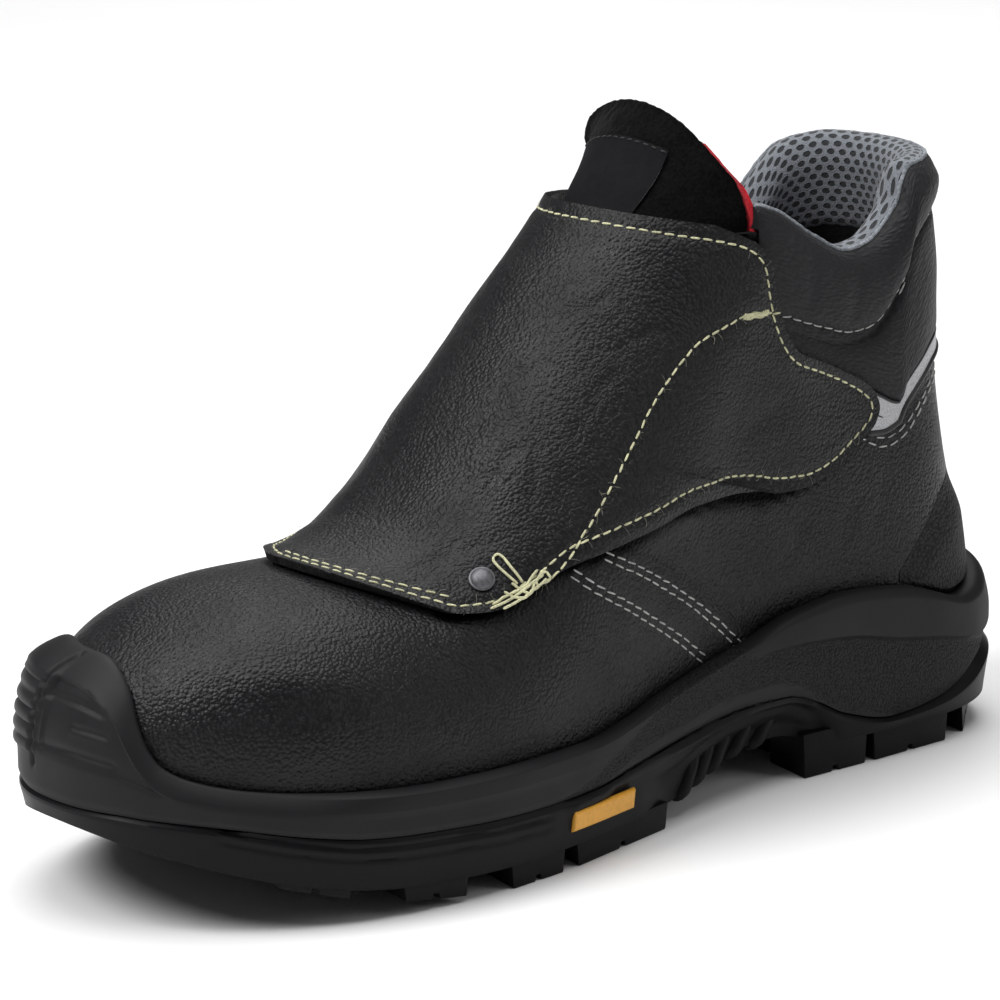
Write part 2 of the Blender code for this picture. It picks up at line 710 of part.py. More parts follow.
def tongue_label(satin):
    runs = np.linspace(*LABEL_RUN, 5)
    spans = np.linspace(*LABEL_SPAN, 9)
    faces = []
    for rise in (GAP, GAP + LABEL_THICK):
        faces.append([
            [sheet_point(TONGUE, run, span, tongue_off(run, span) + rise) for span in spans] for run in runs])
    bm = bmesh.new()
    wall(bm, *faces)
    return finish(bm, "tongue_label", satin)


# Overlays on heel and quarters

def band_places(last):
    """Columns of a band round the heel, from its medial to its lateral end."""
    columns = [u for u in COLUMNS if place_along(u)[1] < last]
    return [(u, MEDIAL) for u in reversed(columns[1:])] + [(u, LATERAL) for u in columns]


def heel_counter(rubber):
    outer, inner = [], []
    for u, side in band_places(COUNTER.key[-1]):
        sole_s, s = place_along(u)
        low = SOLE.read("rim", sole_s) + GAP
        heights = np.linspace(low, max(COUNTER.read("top", s), low + COUNTER_LIP), 6)
        grow = COUNTER.read("grow", s)
        inner.append([form(u, z, side, GAP) for z in heights])
        outer.append([form(u, z, side, grow - COUNTER_LIP * (z == heights[-1])) for z in heights])
    bm = bmesh.new()
    wall(bm, outer, inner)
    return finish(bm, "heel_counter", rubber)


def reflective_strip(tape):
    outer, inner = [], []
    for u, side in band_places(CHEVRON.key[-1]):
        s = place_along(u)[1]
        heights = np.linspace(CHEVRON.read("low", s), CHEVRON.read("high", s), 3)
        inner.append([form(u, z, side, GAP) for z in heights])
        outer.append([form(u, z, side, GAP + CHEVRON_THICK) for z in heights])
    bm = bmesh.new()
    wall(bm, outer, inner)
    return finish(bm, "reflective_strip", tape)


def back_tab(leather):
    """Tab over the middle of the collar's back, one facet wide on each side."""
    columns = COLUMNS[:2]
    outer, inner = [], []
    for u, side in ((columns[1], MEDIAL), (columns[0], LATERAL), (columns[1], LATERAL)):
        grows, levels = zip(*collar_profile(place_along(u)[1], side)[:6])
        heights = [TAB_LOW] + [z for z in levels if TAB_LOW < z < TAB_HIGH] + [TAB_HIGH]
        seats = [(np.interp(z, levels, grows) + GAP, z) for z in heights]
        inner.append([form(u, z, side, grow) for grow, z in seats])
        outer.append([form(u, z, side, grow + TAB_THICK) for grow, z in seats])
    bm = bmesh.new()
    wall(bm, outer, inner)
    return finish(bm, "back_tab", leather)


def surface_normal(s, z, side, grow):
    step = RIVET_RADIUS / 4
    point = across(s, z, side, grow)
    ahead = across(s + step, z, side, grow) - point
    above = across(s, z + step, side, grow) - point
    normal = Vector(np.cross(ahead, above))
    normal.normalize()
    return normal if normal.y * side > 0 else -normal


def rivet(steel):
    """Domed rivet through the lateral front corner of the flap."""
    bm = bmesh.new()
    bmesh.ops.create_uvsphere(bm, u_segments=14, v_segments=8, radius=RIVET_RADIUS * MM)
    below = [vert for vert in bm.verts if vert.co.z < -1e-6]
    bmesh.ops.delete(bm, geom=below, context="VERTS")
    bmesh.ops.holes_fill(bm, edges=[edge for edge in bm.edges if edge.is_boundary])
    for vert in bm.verts:
        vert.co.z *= RIVET_RISE / RIVET_RADIUS
    grow = RIVET_SEAT + FLAP_LEATHER + GAP
    seat = across(RIVET_ALONG, RIVET_HEIGHT, LATERAL, grow)
    normal = surface_normal(RIVET_ALONG, RIVET_HEIGHT, LATERAL, grow)
    turn = normal.to_track_quat("Z", "Y").to_matrix().to_4x4()
    bmesh.ops.transform(bm, matrix=Matrix.Translation(to_scene(seat)) @ turn, verts=bm.verts)
    return finish(bm, "rivet", steel)


def sole_badge(amber):
    """Plain raised bar on the outsole's wall."""
    def wall_grow(s, z):
        base, split = SOLE.read("base", s), SOLE.read("split", s)
        part = np.clip((z - base) / (split - base), 0, 1)
        return SOLE_GROW - np.interp(part, WALL_SHARE, WALL_INSET)

    outer, inner = [], []
    for s in np.linspace(BADGE_FROM, BADGE_TO, 5):
        heights = np.linspace(BADGE_LOW, BADGE_HIGH, 3)
        inner.append([across(s, z, LATERAL, wall_grow(s, z) + GAP) for z in heights])
        outer.append([across(s, z, LATERAL, wall_grow(s, z) + GAP + BADGE_THICK) for z in heights])
    bm = bmesh.new()
    wall(bm, outer, inner)
    return finish(bm, "sole_badge", amber)


def main():
    for old in list(bpy.data.objects):
        bpy.data.objects.remove(old, do_unlink=True)
    black_rubber = material("black_rubber", (0.020, 0.020, 0.022), 0.62)
    black_foam = material("black_foam", (0.026, 0.026, 0.028), 0.55)
    black_leather = material("black_leather", (0.022, 0.022, 0.024), 0.48)
    outsole(black_rubber)
    midsole(black_foam)
    insole(material("grey_felt", (0.16, 0.17, 0.18), 0.9))
    upper(black_leather)
    collar(material("black_padding", (0.028, 0.028, 0.031), 0.55))
    tongue(material("black_suede", (0.012, 0.012, 0.012), 0.95))
    tongue_label(material("black_satin", (0.035, 0.035, 0.038), 0.45))
    flap(black_leather)
    heel_counter(material("grained_rubber", (0.024, 0.024, 0.026), 0.75))
    reflective_strip(material("reflective_tape", (0.48, 0.48, 0.50), 0.35))
    back_tab(black_leather)
    rivet(material("gunmetal", (0.18, 0.18, 0.19), 0.35, 1.0))
    sole_badge(material("amber_rubber", (0.74, 0.36, 0.03), 0.5))


main()
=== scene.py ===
"""Looks of a welder's ankle safety boot, left foot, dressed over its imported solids.

Sizes are in millimetres on the boot's own form and become metres when a mesh is made. "Along" (s) runs
from the back of the sole to the toe, z is the height over the floor, lateral is the outer side (+Y).
"""
from functools import cache

import bmesh
import bpy
import numpy as np
from bpy.props import FloatProperty, FloatVectorProperty, IntProperty, PointerProperty
from mathutils import Matrix, Vector, noise
from mathutils.bvhtree import BVHTree


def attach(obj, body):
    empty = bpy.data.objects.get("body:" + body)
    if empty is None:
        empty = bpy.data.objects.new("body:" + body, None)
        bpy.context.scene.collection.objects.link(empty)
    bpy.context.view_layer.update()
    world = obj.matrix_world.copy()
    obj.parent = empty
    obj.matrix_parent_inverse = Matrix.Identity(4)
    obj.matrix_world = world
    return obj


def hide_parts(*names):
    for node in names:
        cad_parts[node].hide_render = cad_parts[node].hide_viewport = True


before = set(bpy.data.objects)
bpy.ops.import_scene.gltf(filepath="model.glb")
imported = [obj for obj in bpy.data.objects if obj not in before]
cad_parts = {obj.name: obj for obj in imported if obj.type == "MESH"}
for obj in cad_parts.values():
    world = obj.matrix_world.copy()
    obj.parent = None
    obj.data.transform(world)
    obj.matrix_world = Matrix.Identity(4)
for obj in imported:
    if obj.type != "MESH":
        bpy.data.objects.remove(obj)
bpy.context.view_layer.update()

bl_info = {
    "name": "Safety boot looks",
    "version": (1, 0, 0),
    "blender": (4, 5, 0),
    "location": "View3D > Sidebar > Boot",
    "description": "Builds the leather, padding, stitching and moulded sole of an ankle safety boot",
    "category": "Object",
}

MM = 0.001
LATERAL, MEDIAL = 1, -1
SIDES = (LATERAL, MEDIAL)
# Middle of the boot's box on the floor, in the boot's own millimetres
BOX_MIDDLE = np.array([152.65, -0.43, 0.0])

# Driving sizes of the boot, from the part's source; some lugs and the fins are a little fuller
TOE_TIP, TOE_REACH, HEEL_END = 300.5, 63.0, 50.0
SHAFT_FROM, SHAFT_TO = 50.0, 115.0
LEATHER, FLAP_LEATHER, TONGUE_THICK = 2.0, 2.2, 3.2
INSOLE_THICK, INSOLE_CLEAR, LINING_CLEAR, EDGE_ROUND = 4.0, 0.5, 0.3, 0.35
SOLE_GROW, GAP, FOOT = 5.5, 0.35, 30.0
COLLAR_FRONT, COLLAR_ROLL, COLLAR_INSIDE, COLLAR_EASE = 104.0, 9.0, 34.0, 0.15
COLLAR_END, COLLAR_END_DROP = 9.0, 4.0
THROAT_END = 198.0
TONGUE_FLARE, TONGUE_FLARE_FROM = 4.0, 0.72
LABEL_RUN, LABEL_SPAN, LABEL_THICK = (0.56, 0.823), (-0.62, 0.40), 0.8
LABEL_TAPER, FELT_PROUD, FELT_TURN = 0.25, 0.06, 4.6
LIP_TALL, LIP_THICK, PANEL_SUNK, BORDER_PROUD = 7.0, 1.3, 0.6, 0.4
COUNTER_LIP = 1.0
CHEVRON_THICK, CHEVRON_CLEAR = 0.8, 0.7
TAB_LOW, TAB_HIGH, TAB_THICK, TAB_TURN = 124.0, 150.0, 1.6, 1 / 6
RIVET_ALONG, RIVET_HEIGHT, RIVET_SEAT = 202.1, 77.2, 1.45
EDGE_LUGS = ((4, 26), (35, 63), (66.5, 89), (146, 183), (189, 207), (222, 240), (255, 271))
MIDDLE_LUGS = ((14, 24), (38, 50), (66, 80), (154, 168), (186, 200), (216, 230), (246, 258))
LUG_INSET, LUG_DEEP, LUG_GAP, LUG_DRAFT = 1.6, 17.0, 6.0, 0.8
LUG_ROOT, LUG_SLANT, SIPE_WIDE, SIPE_DEEP = 1.5, 3.0, 2.2, 1.7
ARCH_FINS = (105, 114, 123, 130, 137)
FIN_THICK, FIN_LEAN, FIN_TALL, FIN_DROP, FIN_OUT, FIN_SUNK = 7.2, -6.5, 10.0, 1.6, 1.5, 5.0
HEEL_FLARE, FLARE_FROM, FLARE_TO = 1.6, 25.0, 90.0
WALL_INSET, WALL_SHARE = (1.6, 1.0, 0.2), (0.0, 0.35, 0.75)
WALL_CHAMFER_SHARE, WALL_CHAMFER, TUCK_SHARE = 0.9, 1.1, 0.35
TOE_BAND_FROM, TOE_BAND_TO, TOE_BAND_EDGE = 2.54, 2.94, 0.012
TOE_BAND_RISE, TOE_RIB_CUT, TOE_RIBS, TOE_RIB_TOP, TOE_BAND_SLANT = 1.1, 0.9, 5, 0.74, 0.03
BUMPER_CLEAR, BUMPER_TURNS = 0.7, (2.2, 2.4)
# Where the midsole's border, fore part, toe bumper and the bumper's panel set in
BORDER_WIDE, FORE_TURNS, TOE_TURNS, PANEL_TURNS = (4.6, 6.0), (1.5, 1.9), (1.95, 2.35), (2.36, 2.46)
STEP_BEVEL, CUP_FOOT_INSET, RIM_ROUND = 0.7, 0.8, 0.3
BADGE_FROM, BADGE_TO, BADGE_LOW, BADGE_HIGH, BADGE_THICK = 162.0, 187.0, 10.6, 16.4, 1.0
# Rivet head from its crown to its seat: radius and height
RIVET_PROFILE = (
    (0.0, 1.62), (0.7, 1.6), (1.4, 1.48), (2.0, 1.25), (2.5, 0.9), (2.85, 0.5), (2.95, 0.3), (3.05, 0.26),
    (3.25, 0.24), (3.38, 0.14), (3.42, 0.0), (3.3, -0.4), (0.0, -0.4),
)


class Table:
    """Rows of sizes with named columns, read by a smooth curve through one column."""

    def __init__(self, columns, *rows):
        self.lateral_edge = None
        values = np.array(rows, float).T
        self.key = values[0]
        self.columns = dict(zip(columns.split()[1:], values[1:]))

    def read(self, column, where):
        x = self.key
        y = self.columns[column]
        step = np.diff(x)
        slope = np.diff(y) / step
        before, after = slope[:-1], slope[1:]
        turns = before * after <= 0
        near, far = 2 * step[1:] + step[:-1], step[1:] + 2 * step[:-1]
        safe = [np.where(turns, 1.0, part) for part in (before, after)]
        mean = (near + far) / (near / safe[0] + far / safe[1])
        tangent = np.concatenate(([slope[0]], np.where(turns, 0.0, mean), [slope[-1]]))
        where = np.clip(where, x[0], x[-1])
        i = np.clip(np.searchsorted(x, where) - 1, 0, len(x) - 2)
        t = (where - x[i]) / step[i]
        rise = step[i] * (tangent[i] * t * (1 - t) ** 2 - tangent[i + 1] * t ** 2 * (1 - t))
        return y[i] * (1 + 2 * t) * (1 - t) ** 2 + y[i + 1] * t ** 2 * (3 - 2 * t) + rise


# Half widths of the last from its centre line, at the foot and up in the shaft
PLAN = Table(
    "along lateral medial centre shaft_lateral shaft_medial",
    (0, 36.5, 34.5, 0, 33, 32),
    (60, 36.5, 34.5, 0, 33, 32),
    (90, 36, 32.5, 0, 34, 32),
    (115, 37, 31.5, 0, 35.5, 32.5),
    (140, 40.5, 33.5, 0, 40, 34.5),
    (165, 45.5, 38.5, 0, 45.5, 38.5),
    (190, 49.5, 43.5, 0, 49.5, 43.5),
    (215, 51.5, 47, -1, 51.5, 47),
    (238, 50.5, 49, -2.5, 50.5, 49),
    (265, 48.5, 46.5, -5, 48.5, 46.5),
    (288, 46, 43, -7, 46, 43),
    (306, 42, 38, -8, 42, 38),
)
# Ridge over toe and instep, how far below it the wall starts to bend over, and how squarely
PROFILE = Table(
    "along ridge shoulder square",
    (0, 270, 62, 2.3),
    (50, 262, 62, 2.3),
    (85, 228, 62, 2.2),
    (100, 208, 62, 2.0),
    (112, 190.5, 62, 2.0),
    (120, 179, 63, 2.0),
    (131, 164.5, 66, 2.0),
    (157, 136.5, 70, 2.0),
    (182, 108, 64, 2.05),
    (195, 93, 56, 2.1),
    (209, 82, 46, 2.15),
    (225, 78, 41, 2.2),
    (237.5, 77.7, 38, 2.25),
    (306, 77.7, 38, 2.25),
)
# Back line of the heel and how squarely the heel turns there
BACK = Table(
    "height along square",
    (0, 5.5, 2.7),
    (33, 5.5, 2.7),
    (45, 6.8, 2.5),
    (60, 9.3, 2.4),
    (80, 13, 2.25),
    (105, 16, 2.1),
    (130, 17.5, 1.98),
    (147, 19, 1.98),
    (165, 20.5, 1.98),
)
# Heights of the sole: underside, split, step in the midsole's wall and its swell, rim, floor of the cup, tuck
SOLE = Table(
    "along base split step swell rim floor tuck",
    (0, 10, 27, 33, 0.8, 47, 32, 0),
    (7, 8.5, 25.5, 31, 1.0, 45, 32, 0),
    (12, 8, 23.5, 29, 1.2, 43, 32, 0),
    (18, 8, 20.5, 27.5, 1.2, 41, 32, 0),
    (25, 8, 17, 28, 1.2, 40.5, 32, 0),
    (39, 8, 13, 31, 1.2, 44.5, 32, 0),
    (56, 8, 11.5, 34, 1.2, 48.5, 32, 0),
    (75, 8.5, 16, 38, 1.2, 50, 31.8, 0),
    (86, 10.5, 21.5, 39, 1.2, 49, 31.6, 2.5),
    (97, 12.5, 25, 39.5, 1.0, 47.3, 31.3, 4.5),
    (111, 12, 25.5, 39.5, 0.5, 43.3, 31, 5),
    (125, 9, 25, 36, 0.1, 40.7, 30, 4.5),
    (142, 5.5, 23.5, 31.5, 0, 37.8, 28.5, 2.5),
    (160, 6, 21.5, 28.5, 0, 34.2, 26.5, 0),
    (177, 6, 19.6, 26.5, 0, 32, 24.8, 0),
    (196, 6, 19.5, 26.5, 0, 32.2, 24, 0),
    (229, 6.5, 20.5, 27, 0, 32.6, 23.8, 0),
    (251, 8.5, 22, 28.5, 0, 33.8, 25, 0),
    (267, 11.5, 24.5, 30.5, 0, 35.2, 27.5, 0),
    (282, 15.5, 27.5, 33, 0, 37.3, 30.5, 0),
    (291, 18.5, 28.8, 34.5, 0, 39.8, 32.5, 0),
    (295.5, 20, 29.3, 36, 0, 42.8, 33.2, 0),
    (297.5, 20.8, 29.5, 37, 0, 46.2, 33.5, 0),
    (299.5, 21.8, 29.8, 38, 0, 51.6, 33.8, 0),
    (302, 23, 30, 39, 0, 58.8, 34.2, 0),
    (306, 25, 30, 40, 0, 65.5, 34.5, 0),
)
MEDIAL_RIM = Table(
    "along height",
    (251, 33.8), (262, 36), (270, 38.5), (277, 43), (281, 49), (286, 57), (292, 62.5), (300, 65), (306, 65.5),
)
# Collar: top of the roll on each side, sewn pinch line, lower edge, and puff of its two swells
COLLAR = Table(
    "along top medial_top pinch low upper_puff lower_puff",
    (12, 164, 164, 150, 121, 2.6, 1.8),
    (25, 164, 160.5, 148, 118, 3.6, 1.9),
    (38, 163.5, 152, 143, 110, 4.8, 2.3),
    (46, 159, 147, 136, 102, 5.4, 2.7),
    (54, 150, 144, 125.5, 100, 5.4, 2.9),
    (62, 144.5, 143, 120, 105, 5.0, 2.5),
    (69, 143.5, 143.5, 119.5, 106.5, 4.6, 1.9),
    (82, 149, 149, 123, 108, 3.8, 1.4),
    (96, 157.5, 157, 128, 114, 2.4, 1.2),
    (104, 162, 161, 130.5, 120, 2.0, 1.2),
)
THROAT = Table("along half", (104, 26), (125, 23), (160, 20), (185, 16), (194, 10), (198, 0))
# Flap from its front hem (0) to its top hem (1): crest, medial edge, and how far it stands off the leather
FLAP = Table(
    "run crest medial_along medial_height crest_off edge_off",
    (0.00, 235.5, 204, 68, 1.0, 0.7),
    (0.09, 229, 194, 71, 1.0, 0.8),
    (0.20, 214, 178, 78, 1.4, 2.0),
    (0.31, 196, 160, 88, 2.4, 4.2),
    (0.41, 186, 150, 95, 3.3, 4.4),
    (0.49, 180, 142, 101, 3.3, 2.6),
    (0.57, 172, 135, 108, 3.3, 2.0),
    (0.63, 164, 129, 115, 3.3, 2.0),
    (0.69, 160, 124, 121, 3.3, 2.6),
    (0.77, 156, 119, 128, 3.2, 2.6),
    (0.86, 151, 113, 139, 3.0, 2.6),
    (0.94, 143.5, 109, 149, 2.8, 2.6),
    (1.00, 138.8, 108, 155, 2.6, 2.6),
)
# Cut edge of the flap on the lateral side, with the round end of its tab
FLAP.lateral_edge = Table(
    "run along height",
    (0.00, 207, 67.8), (0.03, 201.5, 69.6), (0.06, 196, 71.6), (0.09, 190.5, 74), (0.14, 180, 78),
    (0.20, 167, 80.8), (0.26, 150, 84), (0.31, 136.4, 86.4), (0.36, 124, 86.5), (0.41, 112, 85.6),
    (0.45, 100.5, 82.9), (0.49, 90, 82.4), (0.53, 79, 85), (0.57, 69.5, 90), (0.605, 62, 95.5),
    (0.63, 60.4, 99.5), (0.655, 62.5, 104.2), (0.69, 70.5, 109.6), (0.73, 82.5, 115.2), (0.77, 92.6, 119.6),
    (0.81, 97.7, 126), (0.86, 101.8, 137.7), (0.94, 103.8, 150.5), (1.00, 107.6, 154.8),
)
# How far the flap's corners are cut back, as a share of its width, and over what share of its length
HEM_CORNER, HEM_CORNER_RUN = 0.11, 0.05
MEDIAL_HEM, MEDIAL_HEM_RUN = 0.9, 0.24
TOP_CORNER, TOP_CORNER_RUN = 0.2, 0.12
# Sewn rows from the flap's edge, low edge, top and front hem, and the span where the hem's row ends
EDGE_ROW, LOW_EDGE_ROW, TOP_ROW, HEM_ROW, HEM_ROW_END = 2.7, 4.8, 4.2, 4.9, 0.86
# Band of painted shadow on the leather under the flap's edge, and how much wider it is below the tab
SHADE_WIDE, SHADE_MORE = 3.6, 3.6
# Tongue from its root (0) to its top (1): crest, edge, and how far it lies off the form
TONGUE = Table(
    "run crest along height off",
    (0.00, 197, 190, 88, -2.8),
    (0.25, 170, 160, 106, -2.8),
    (0.50, 145, 131, 126, -3.1),
    (0.65, 131, 111, 143, -3.2),
    (0.76, 124, 104.6, 154.5, -2.8),
    (0.87, 119.5, 107, 165, -1.6),
    (0.95, 116.5, 110.5, 171.5, -1.2),
    (1.00, 115.2, 113, 177.5, -1.0),
)
# Top line of the heel counter, and how far it stands out
COUNTER = Table(
    "along top grow",
    (0, 73.5, 2.3), (17, 73, 2.2), (23, 71, 2.2), (28.5, 68, 2.1), (38.5, 60.2, 2.0), (45, 55.2, 1.9),
    (51, 50.3, 1.8),
)
# Lower and upper edge of the reflective chevron
CHEVRON = Table(
    "along low high",
    (12, 110.5, 114.6), (24, 108, 112.2), (33.4, 103.8, 108.2), (39.5, 100.7, 105.4), (43.7, 98.4, 103.2),
    (48.6, 95, 98.3), (51.2, 93.4, 98.6), (56.6, 92, 101), (63, 92.5, 104.5),
)
# Tread over the floor: flat under heel and ball, rising to the toe
TREAD = Table(
    "along height", (0, 0), (206, 0), (222, 1.5), (240, 3.6), (255, 7), (271, 11.5), (300, 22))

# Creases and soft edges of the leather, each with its side, half width, depth, and points along and up.
# A depth below nothing is a ridge.
UPPER_CREASES = (
    (LATERAL, 5.5, -0.55, ((273, 64.1), (264, 62), (254, 59), (250, 56.2))),
    (LATERAL, 4.5, 0.6, ((271, 56.2), (259, 55.2), (251, 53.9), (250, 49.8), (248, 43.1), (246, 36.6))),
    (LATERAL, 2.2, 0.4, ((247, 55.8), (239, 51.6), (235, 45.9))),
    (LATERAL, 2.0, 0.35, ((231, 53.3), (226, 47.6), (224, 44))),
    (LATERAL, 2.0, 0.35, ((217, 49.1), (209, 44.3), (207, 40.8))),
    (LATERAL, 2.0, 0.3, ((243, 50.6), (240, 43.3))),
    (LATERAL, 0.8, 0.45, ((249, 67.9), (246, 67.5), (243, 66.9))),
    (LATERAL, 6.0, -0.5, ((230, 70.5), (219, 66.6), (207, 64.1))),
    (LATERAL, 3.0, 0.4, ((150, 71), (141, 74), (128, 79), (118, 81))),
    (LATERAL, 3.2, 0.4, ((100, 58), (90, 66), (84, 76))),
    (LATERAL, 3.0, 0.35, ((78, 56), (71, 66), (66, 78))),
    (LATERAL, 2.6, 0.3, ((62, 62), (57, 72), (54, 82))),
    (MEDIAL, 4.5, 0.6, ((268, 56), (257, 54), (250, 50), (248, 43), (246, 37))),
    (MEDIAL, 3.0, 0.4, ((236, 60), (229, 52), (225, 43))),
    (MEDIAL, 3.0, 0.4, ((222, 62), (214, 53), (210, 43))),
    (MEDIAL, 3.2, 0.4, ((100, 60), (90, 70), (84, 82))),
    (MEDIAL, 3.0, 0.35, ((76, 56), (69, 68), (65, 80))),
)
FLAP_CREASES = (
    (LATERAL, 1.7, 0.5, ((177, 108.2), (184, 103.3), (189, 98), (194, 93), (197, 90.8))),
    (LATERAL, 1.7, 0.45, ((177, 108.2), (179, 103.8), (183, 96.5), (186, 90.5))),
    (LATERAL, 1.7, 0.5, ((151, 123.8), (159, 119.4), (163, 115), (167, 110.5), (171, 104.5))),
    (LATERAL, 1.5, 0.4, ((164, 118.2), (168, 112.1), (171, 106))),
    (LATERAL, 1.7, 0.45, ((145, 142.4), (151, 138.7), (156, 136.3), (160, 132.8))),
    (LATERAL, 1.7, 0.4, ((166, 125.3), (171, 121.9), (175, 119.2))),
    (LATERAL, 2.0, 0.5, ((196, 86), (202, 83.9), (210, 80.7), (218, 78))),
    (LATERAL, 1.8, 0.45, ((199, 87.4), (207, 82.9), (217, 80.2))),
    (LATERAL, 1.7, 0.4, ((138, 132.6), (147, 130), (152, 127.2))),
    (LATERAL, 2.0, 0.45, ((174, 119.3), (183, 109.7), (189, 103.8))),
    (LATERAL, 4.0, 0.5, ((115, 99.6), (107, 103.6), (96, 105.7))),
    (MEDIAL, 2.4, 0.5, ((180, 100), (172, 108), (166, 116))),
    (MEDIAL, 2.4, 0.45, ((196, 82), (190, 88), (184, 92))),
    (MEDIAL, 2.4, 0.45, ((158, 120), (150, 128), (142, 138))),
)
COLLAR_CREASES = (
    (LATERAL, 2.6, 0.7, ((57, 124), (52, 132), (48.5, 142), (46.5, 152))),
    (LATERAL, 3.0, 0.5, ((72, 122), (70, 130), (68, 140))),
    (LATERAL, 2.4, 0.4, ((88, 128), (86, 137), (87, 147))),
    (MEDIAL, 2.6, 0.7, ((57, 122), (52, 130), (48, 140))),
    (MEDIAL, 3.0, 0.5, ((72, 122), (70, 130), (68, 140))),
)
# Edge of the vamp where it lies over the quarter, and the sewn rows in front of it
VAMP_EDGE = ((166, 82.5), (163, 80.2), (148.1, 72.4), (130.8, 61.7), (118, 51.9), (110.1, 44.7), (106, 41))
VAMP_STEP, VAMP_FADE = 0.9, 34.0
VAMP_ROWS = (
    ((176.4, 74.9), (169.8, 70), (154.5, 60.9), (137, 49.6), (127, 42)),
    ((164.8, 77.5), (149.9, 69.7), (132.6, 59), (119.8, 49.2), (111.9, 42)),
)
ROW_APART = 0.95
# Sewn line inside the flap, under which its closing patch lies, and the bar tack at that line's upper end
PATCH_ROW = (
    (101.5, 131.8), (103.4, 132), (114.6, 132.7), (127.6, 129.3), (134.4, 125.7), (139.6, 121.7),
    (147.2, 115.1), (153.5, 108.4), (166.3, 95.1), (181, 81.2), (190.5, 74),
)
PATCH_TACK = ((105, 132.2), (109, 132.5), (114, 132.7))
# Sewn rows below the reflective chevron
HEEL_ROWS = (
    ((60.7, 91.4), (54.9, 89.4), (47.9, 91), (37.8, 97.6), (31, 102), (24, 105), (16.8, 107)),
    ((63.8, 90.6), (56, 87.1), (47.1, 88.9), (35, 97.6), (29, 100.5), (23, 102.5), (16.5, 104)),
)
# Loops of thread tacked over the flap's front corner by hand, along and up
CORNER_LOOPS = (
    ((197.5, 82.2), (198, 81.2), (197.2, 79.2), (195, 76)),
    ((197.5, 82.2), (196, 82.6), (195, 79.9), (193.6, 76.2)),
    ((204, 71.6), (199, 73), (194, 75), (188, 77.7)),
    ((203, 72.6), (198.4, 74), (193, 76), (189, 78.6)),
    ((201, 71), (196.5, 72.4), (192, 74.2), (187.5, 76.6)),
    ((199, 74.6), (195.8, 73), (192.6, 73.6), (190.4, 76.4)),
    ((196.4, 76.4), (194, 74.2), (191, 72.6)),
    ((187, 78.3), (186.4, 76), (188.4, 74.4), (190.4, 75.6), (188.8, 77.8), (187, 78.3)),
    ((190.6, 75.2), (189.6, 73), (190.6, 71), (192, 72.2)),
)
# Line of the stippled area on the midsole's side, and the moulded lines beside it
STIPPLE = (
    (2, 26), (15.3, 25), (47.1, 32.5), (74.7, 37.9), (93.6, 39.3), (111.2, 40.2), (116, 43), (125, 41.5),
    (142, 38.5), (152, 35.5), (163, 30), (176, 25), (189, 20.2), (176.9, 19.6), (160, 26), (142.4, 28),
    (116.9, 31), (101, 30.5), (92, 27), (85.7, 22.2), (74.2, 16.5), (54.7, 11.5), (33.6, 14.2),
    (15.3, 24.2), (2, 25),
)
WAVE_RIDGE = (
    (186, 17.5), (176, 18.6), (160, 21.5), (142, 22.4), (125, 24.4), (108, 26.2), (97, 26.2), (88, 22.4))
WAVE_DARK = ((170, 17), (160, 16.2), (142, 13.6), (125, 18.4), (107, 22.6), (95, 23), (88, 19), (82, 12.4))
SOLE_GROOVE = ((284, 31.2), (267.4, 26.6), (250.8, 23.2), (228.7, 21.6), (210, 20.4), (195.9, 19.7))
TOE_GROOVES = (
    ((302.1, -12.4, 56.1), (302, -4.4, 56.3), (301.5, 1.8, 55.9), (300.5, 7.4, 54.9)),
    ((304, 0.2, 50.6), (302.5, 5.8, 50.3), (301.2, 10.2, 49.8)),
    ((305.5, -12.6, 43.7), (305.5, -3, 44.5), (303.9, 6, 44), (301.3, 12.8, 43.1)),
)
# Deep seam between the ribbed band of the toe and its side
TOE_SEAM = (
    (293.5, -10.9, 66), (296.4, -11.8, 64), (299.7, -13.3, 60.3), (301.3, -14.2, 57), (303, -14.6, 53.3),
    (304.4, -14.6, 49.3), (305.3, -14.7, 43.5), (305.5, -14.8, 38.5),
)


# Shape of the boot

def smoothstep(low, high, x):
    t = np.clip((x - low) / (high - low), 0, 1)
    return t * t * (3 - 2 * t)


def width(s, z, side, grow):
    """Half width of the last before toe, heel and ridge bend it in."""
    names = ("lateral", "shaft_lateral") if side > 0 else ("medial", "shaft_medial")
    low, high = (PLAN.read(name, s) for name in names)
    return low + (high - low) * smoothstep(SHAFT_FROM, SHAFT_TO, z) + grow


def bend_in(s, z, grow):
    """How far the wall at a height has bent over towards the ridge, 0 to 1."""
    shoulder = PROFILE.read("shoulder", s)
    spring = PROFILE.read("ridge", s) - shoulder
    return np.clip((z - spring) / (shoulder + grow), 0, 1)


def across(s, z, side, grow=0.0):
    """Points of the form, grown by an even margin, at places along it and heights."""
    p = PROFILE.read("square", s)
    toe = np.clip((s - TOE_TIP + TOE_REACH) / (TOE_REACH + grow), 0, 1)
    heel = np.clip((HEEL_END - s) / (HEEL_END - BACK.read("along", z) + grow), 0, 1)
    left = 1 - toe ** p - bend_in(s, z, grow) ** p - heel ** BACK.read("square", z)
    half = width(s, z, side, grow) * np.clip(left, 0, 1) ** (1 / p)
    return np.stack(np.broadcast_arrays(s, PLAN.read("centre", s) + side * half, z), axis=-1).astype(float)


